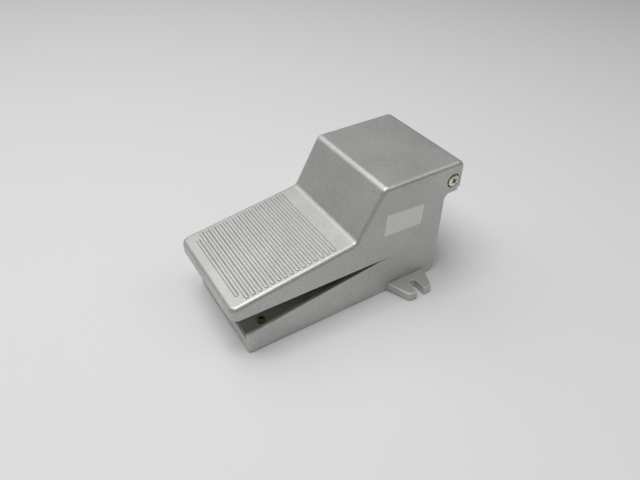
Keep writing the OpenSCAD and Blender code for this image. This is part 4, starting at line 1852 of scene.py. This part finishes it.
def dress_nodes(nodes: dict[str, bpy.types.Object], finishes: Finishes) -> None:
    """Gives the carried-over nodes inside the valve and the hinge their finishes.

    Args:
        nodes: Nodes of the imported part, by name.
        finishes: Materials, by record slot.
    """
    for slot, names in INNER_NODES.items():
        for name in names:
            mesh = nodes[name].data
            mesh.materials.clear()
            mesh.materials.append(finishes[slot])
            LOG.info("%s: %s", name, slot)


# Studio


@dataclass(frozen=True)
class Softbox:
    """A rectangular studio lamp."""

    name: str
    place: Point
    aim: Point
    width: float
    height: float
    power: float


@dataclass
class Studio:
    """Camera, lamps, background light and floor."""

    camera_place: Point = (0.28604, -0.17794, 0.31747)
    camera_aim: Point = (0.01454, -0.00989, 0.05133)
    lens: float = 31.36
    sensor: float = 36.0
    nearest: float = 0.01
    floor_half: float = 6.0
    floor_colour: Colour = (0.79, 0.79, 0.79)
    floor_roughness: float = 0.8
    world_colour: Colour = (0.02, 0.02, 0.02)
    lamps: tuple[Softbox, ...] = (
        Softbox("key", (-0.8, -0.3, 1.45), (0.0, 0.0, 0.05), 1.75, 1.75, 11.6),
        Softbox("top", (0.05, -0.3, 1.35), (0.0, 0.0, 0.0), 0.9, 0.9, 11.0),
        Softbox("back", (0.55, 0.75, 1.15), (0.05, 0.0, 0.05), 1.0, 1.0, 3.2),
        Softbox("front", (-0.7, -0.9, 0.6), (0.0, 0.0, 0.05), 0.8, 0.8, 0.4),
    )

    @staticmethod
    def put(name: str, data: bpy.types.ID, place: Point, aim: Point) -> bpy.types.Object:
        """Puts a lamp or camera where it looks from one point at another.

        Args:
            name: Name of its object.
            data: The lamp or camera.
            place: Where it stands.
            aim: Point that it looks at.

        Returns:
            Its object.
        """
        turn = (Vector(aim) - Vector(place)).to_track_quat("-Z", "Y").to_matrix().to_4x4()
        item = bpy.data.objects.new(name, data)
        item.matrix_world = Matrix.Translation(Vector(place)) @ turn
        bpy.context.scene.collection.objects.link(item)
        return item

    def camera(self) -> None:
        """Sets up the camera at the photograph's angle."""
        data = bpy.data.cameras.new("camera")
        data.lens = self.lens
        data.sensor_width = self.sensor
        data.clip_start = self.nearest
        bpy.context.scene.camera = self.put("camera", data, self.camera_place, self.camera_aim)

    def lights(self) -> None:
        """Sets up the lamps and the background light."""
        for softbox in self.lamps:
            data = bpy.data.lights.new(softbox.name, "AREA")
            data.shape = "RECTANGLE"
            data.size = softbox.width
            data.size_y = softbox.height
            data.energy = softbox.power
            self.put(softbox.name, data, softbox.place, softbox.aim)
        world = bpy.data.worlds.new("studio")
        world.use_nodes = True
        graph = Graph(world.node_tree)
        background = graph.add("ShaderNodeBackground", {"Color": self.world_colour})
        graph.add("ShaderNodeOutputWorld", {"Surface": background.outputs[0]})
        bpy.context.scene.world = world

    def floor(self) -> None:
        """Lays the plain pale floor."""
        bm = bmesh.new()
        bmesh.ops.create_grid(bm, x_segments=1, y_segments=1, size=self.floor_half)
        mesh = bpy.data.meshes.new("floor")
        bm.to_mesh(mesh)
        bm.free()
        material = bpy.data.materials.new("floor")
        material.use_nodes = True
        graph = Graph(material.node_tree)
        paint = {"Base Color": self.floor_colour, "Roughness": self.floor_roughness}
        shader = graph.add("ShaderNodeBsdfPrincipled", paint)
        graph.add("ShaderNodeOutputMaterial", {"Surface": shader.outputs[0]})
        mesh.materials.append(material)
        item = bpy.data.objects.new("floor", mesh)
        bpy.context.scene.collection.objects.link(item)

    def build(self) -> None:
        """Sets up the whole studio."""
        bpy.context.scene.view_settings.view_transform = "Standard"
        self.camera()
        self.lights()
        self.floor()


def main() -> None:
    """Builds the studio, the pieces and their finishes."""
    logging.basicConfig(level=logging.INFO, format="%(message)s")
    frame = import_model()
    Studio().build()
    EffectMaker().build()
    finishes = {finish.slot: finish.material() for finish in FINISHES}
    layout = Layout(frame)
    feet = layout.feet()
    screws = layout.valve_screws()
    pedal = PedalCasting(*layout.pedal, layout.hinge, layout.bore_y, layout.presser_z)
    base = BaseCasting(*layout.base, layout.hinge, *layout.valve, feet, screws)
    head_x = pedal.side_x - pedal.recess_depth + layout.seat_gap
    assemblies = (
        pedal,
        base,
        HingeHardware(layout.hinge, head_x, base.upright_x + base.upright_t, layout.nut_x),
        Feet(feet, base.low.z, base.floor_z),
        ValveBlock(*layout.valve, base.low.z, layout.bore_y, layout.ports(), screws),
        ReturnSpring(*layout.spring),
        Label(*layout.label),
    )
    for assembly in assemblies:
        assembly.build(finishes)
    dress_nodes(frame["nodes"], finishes)


if __name__ == "__main__":
    main()
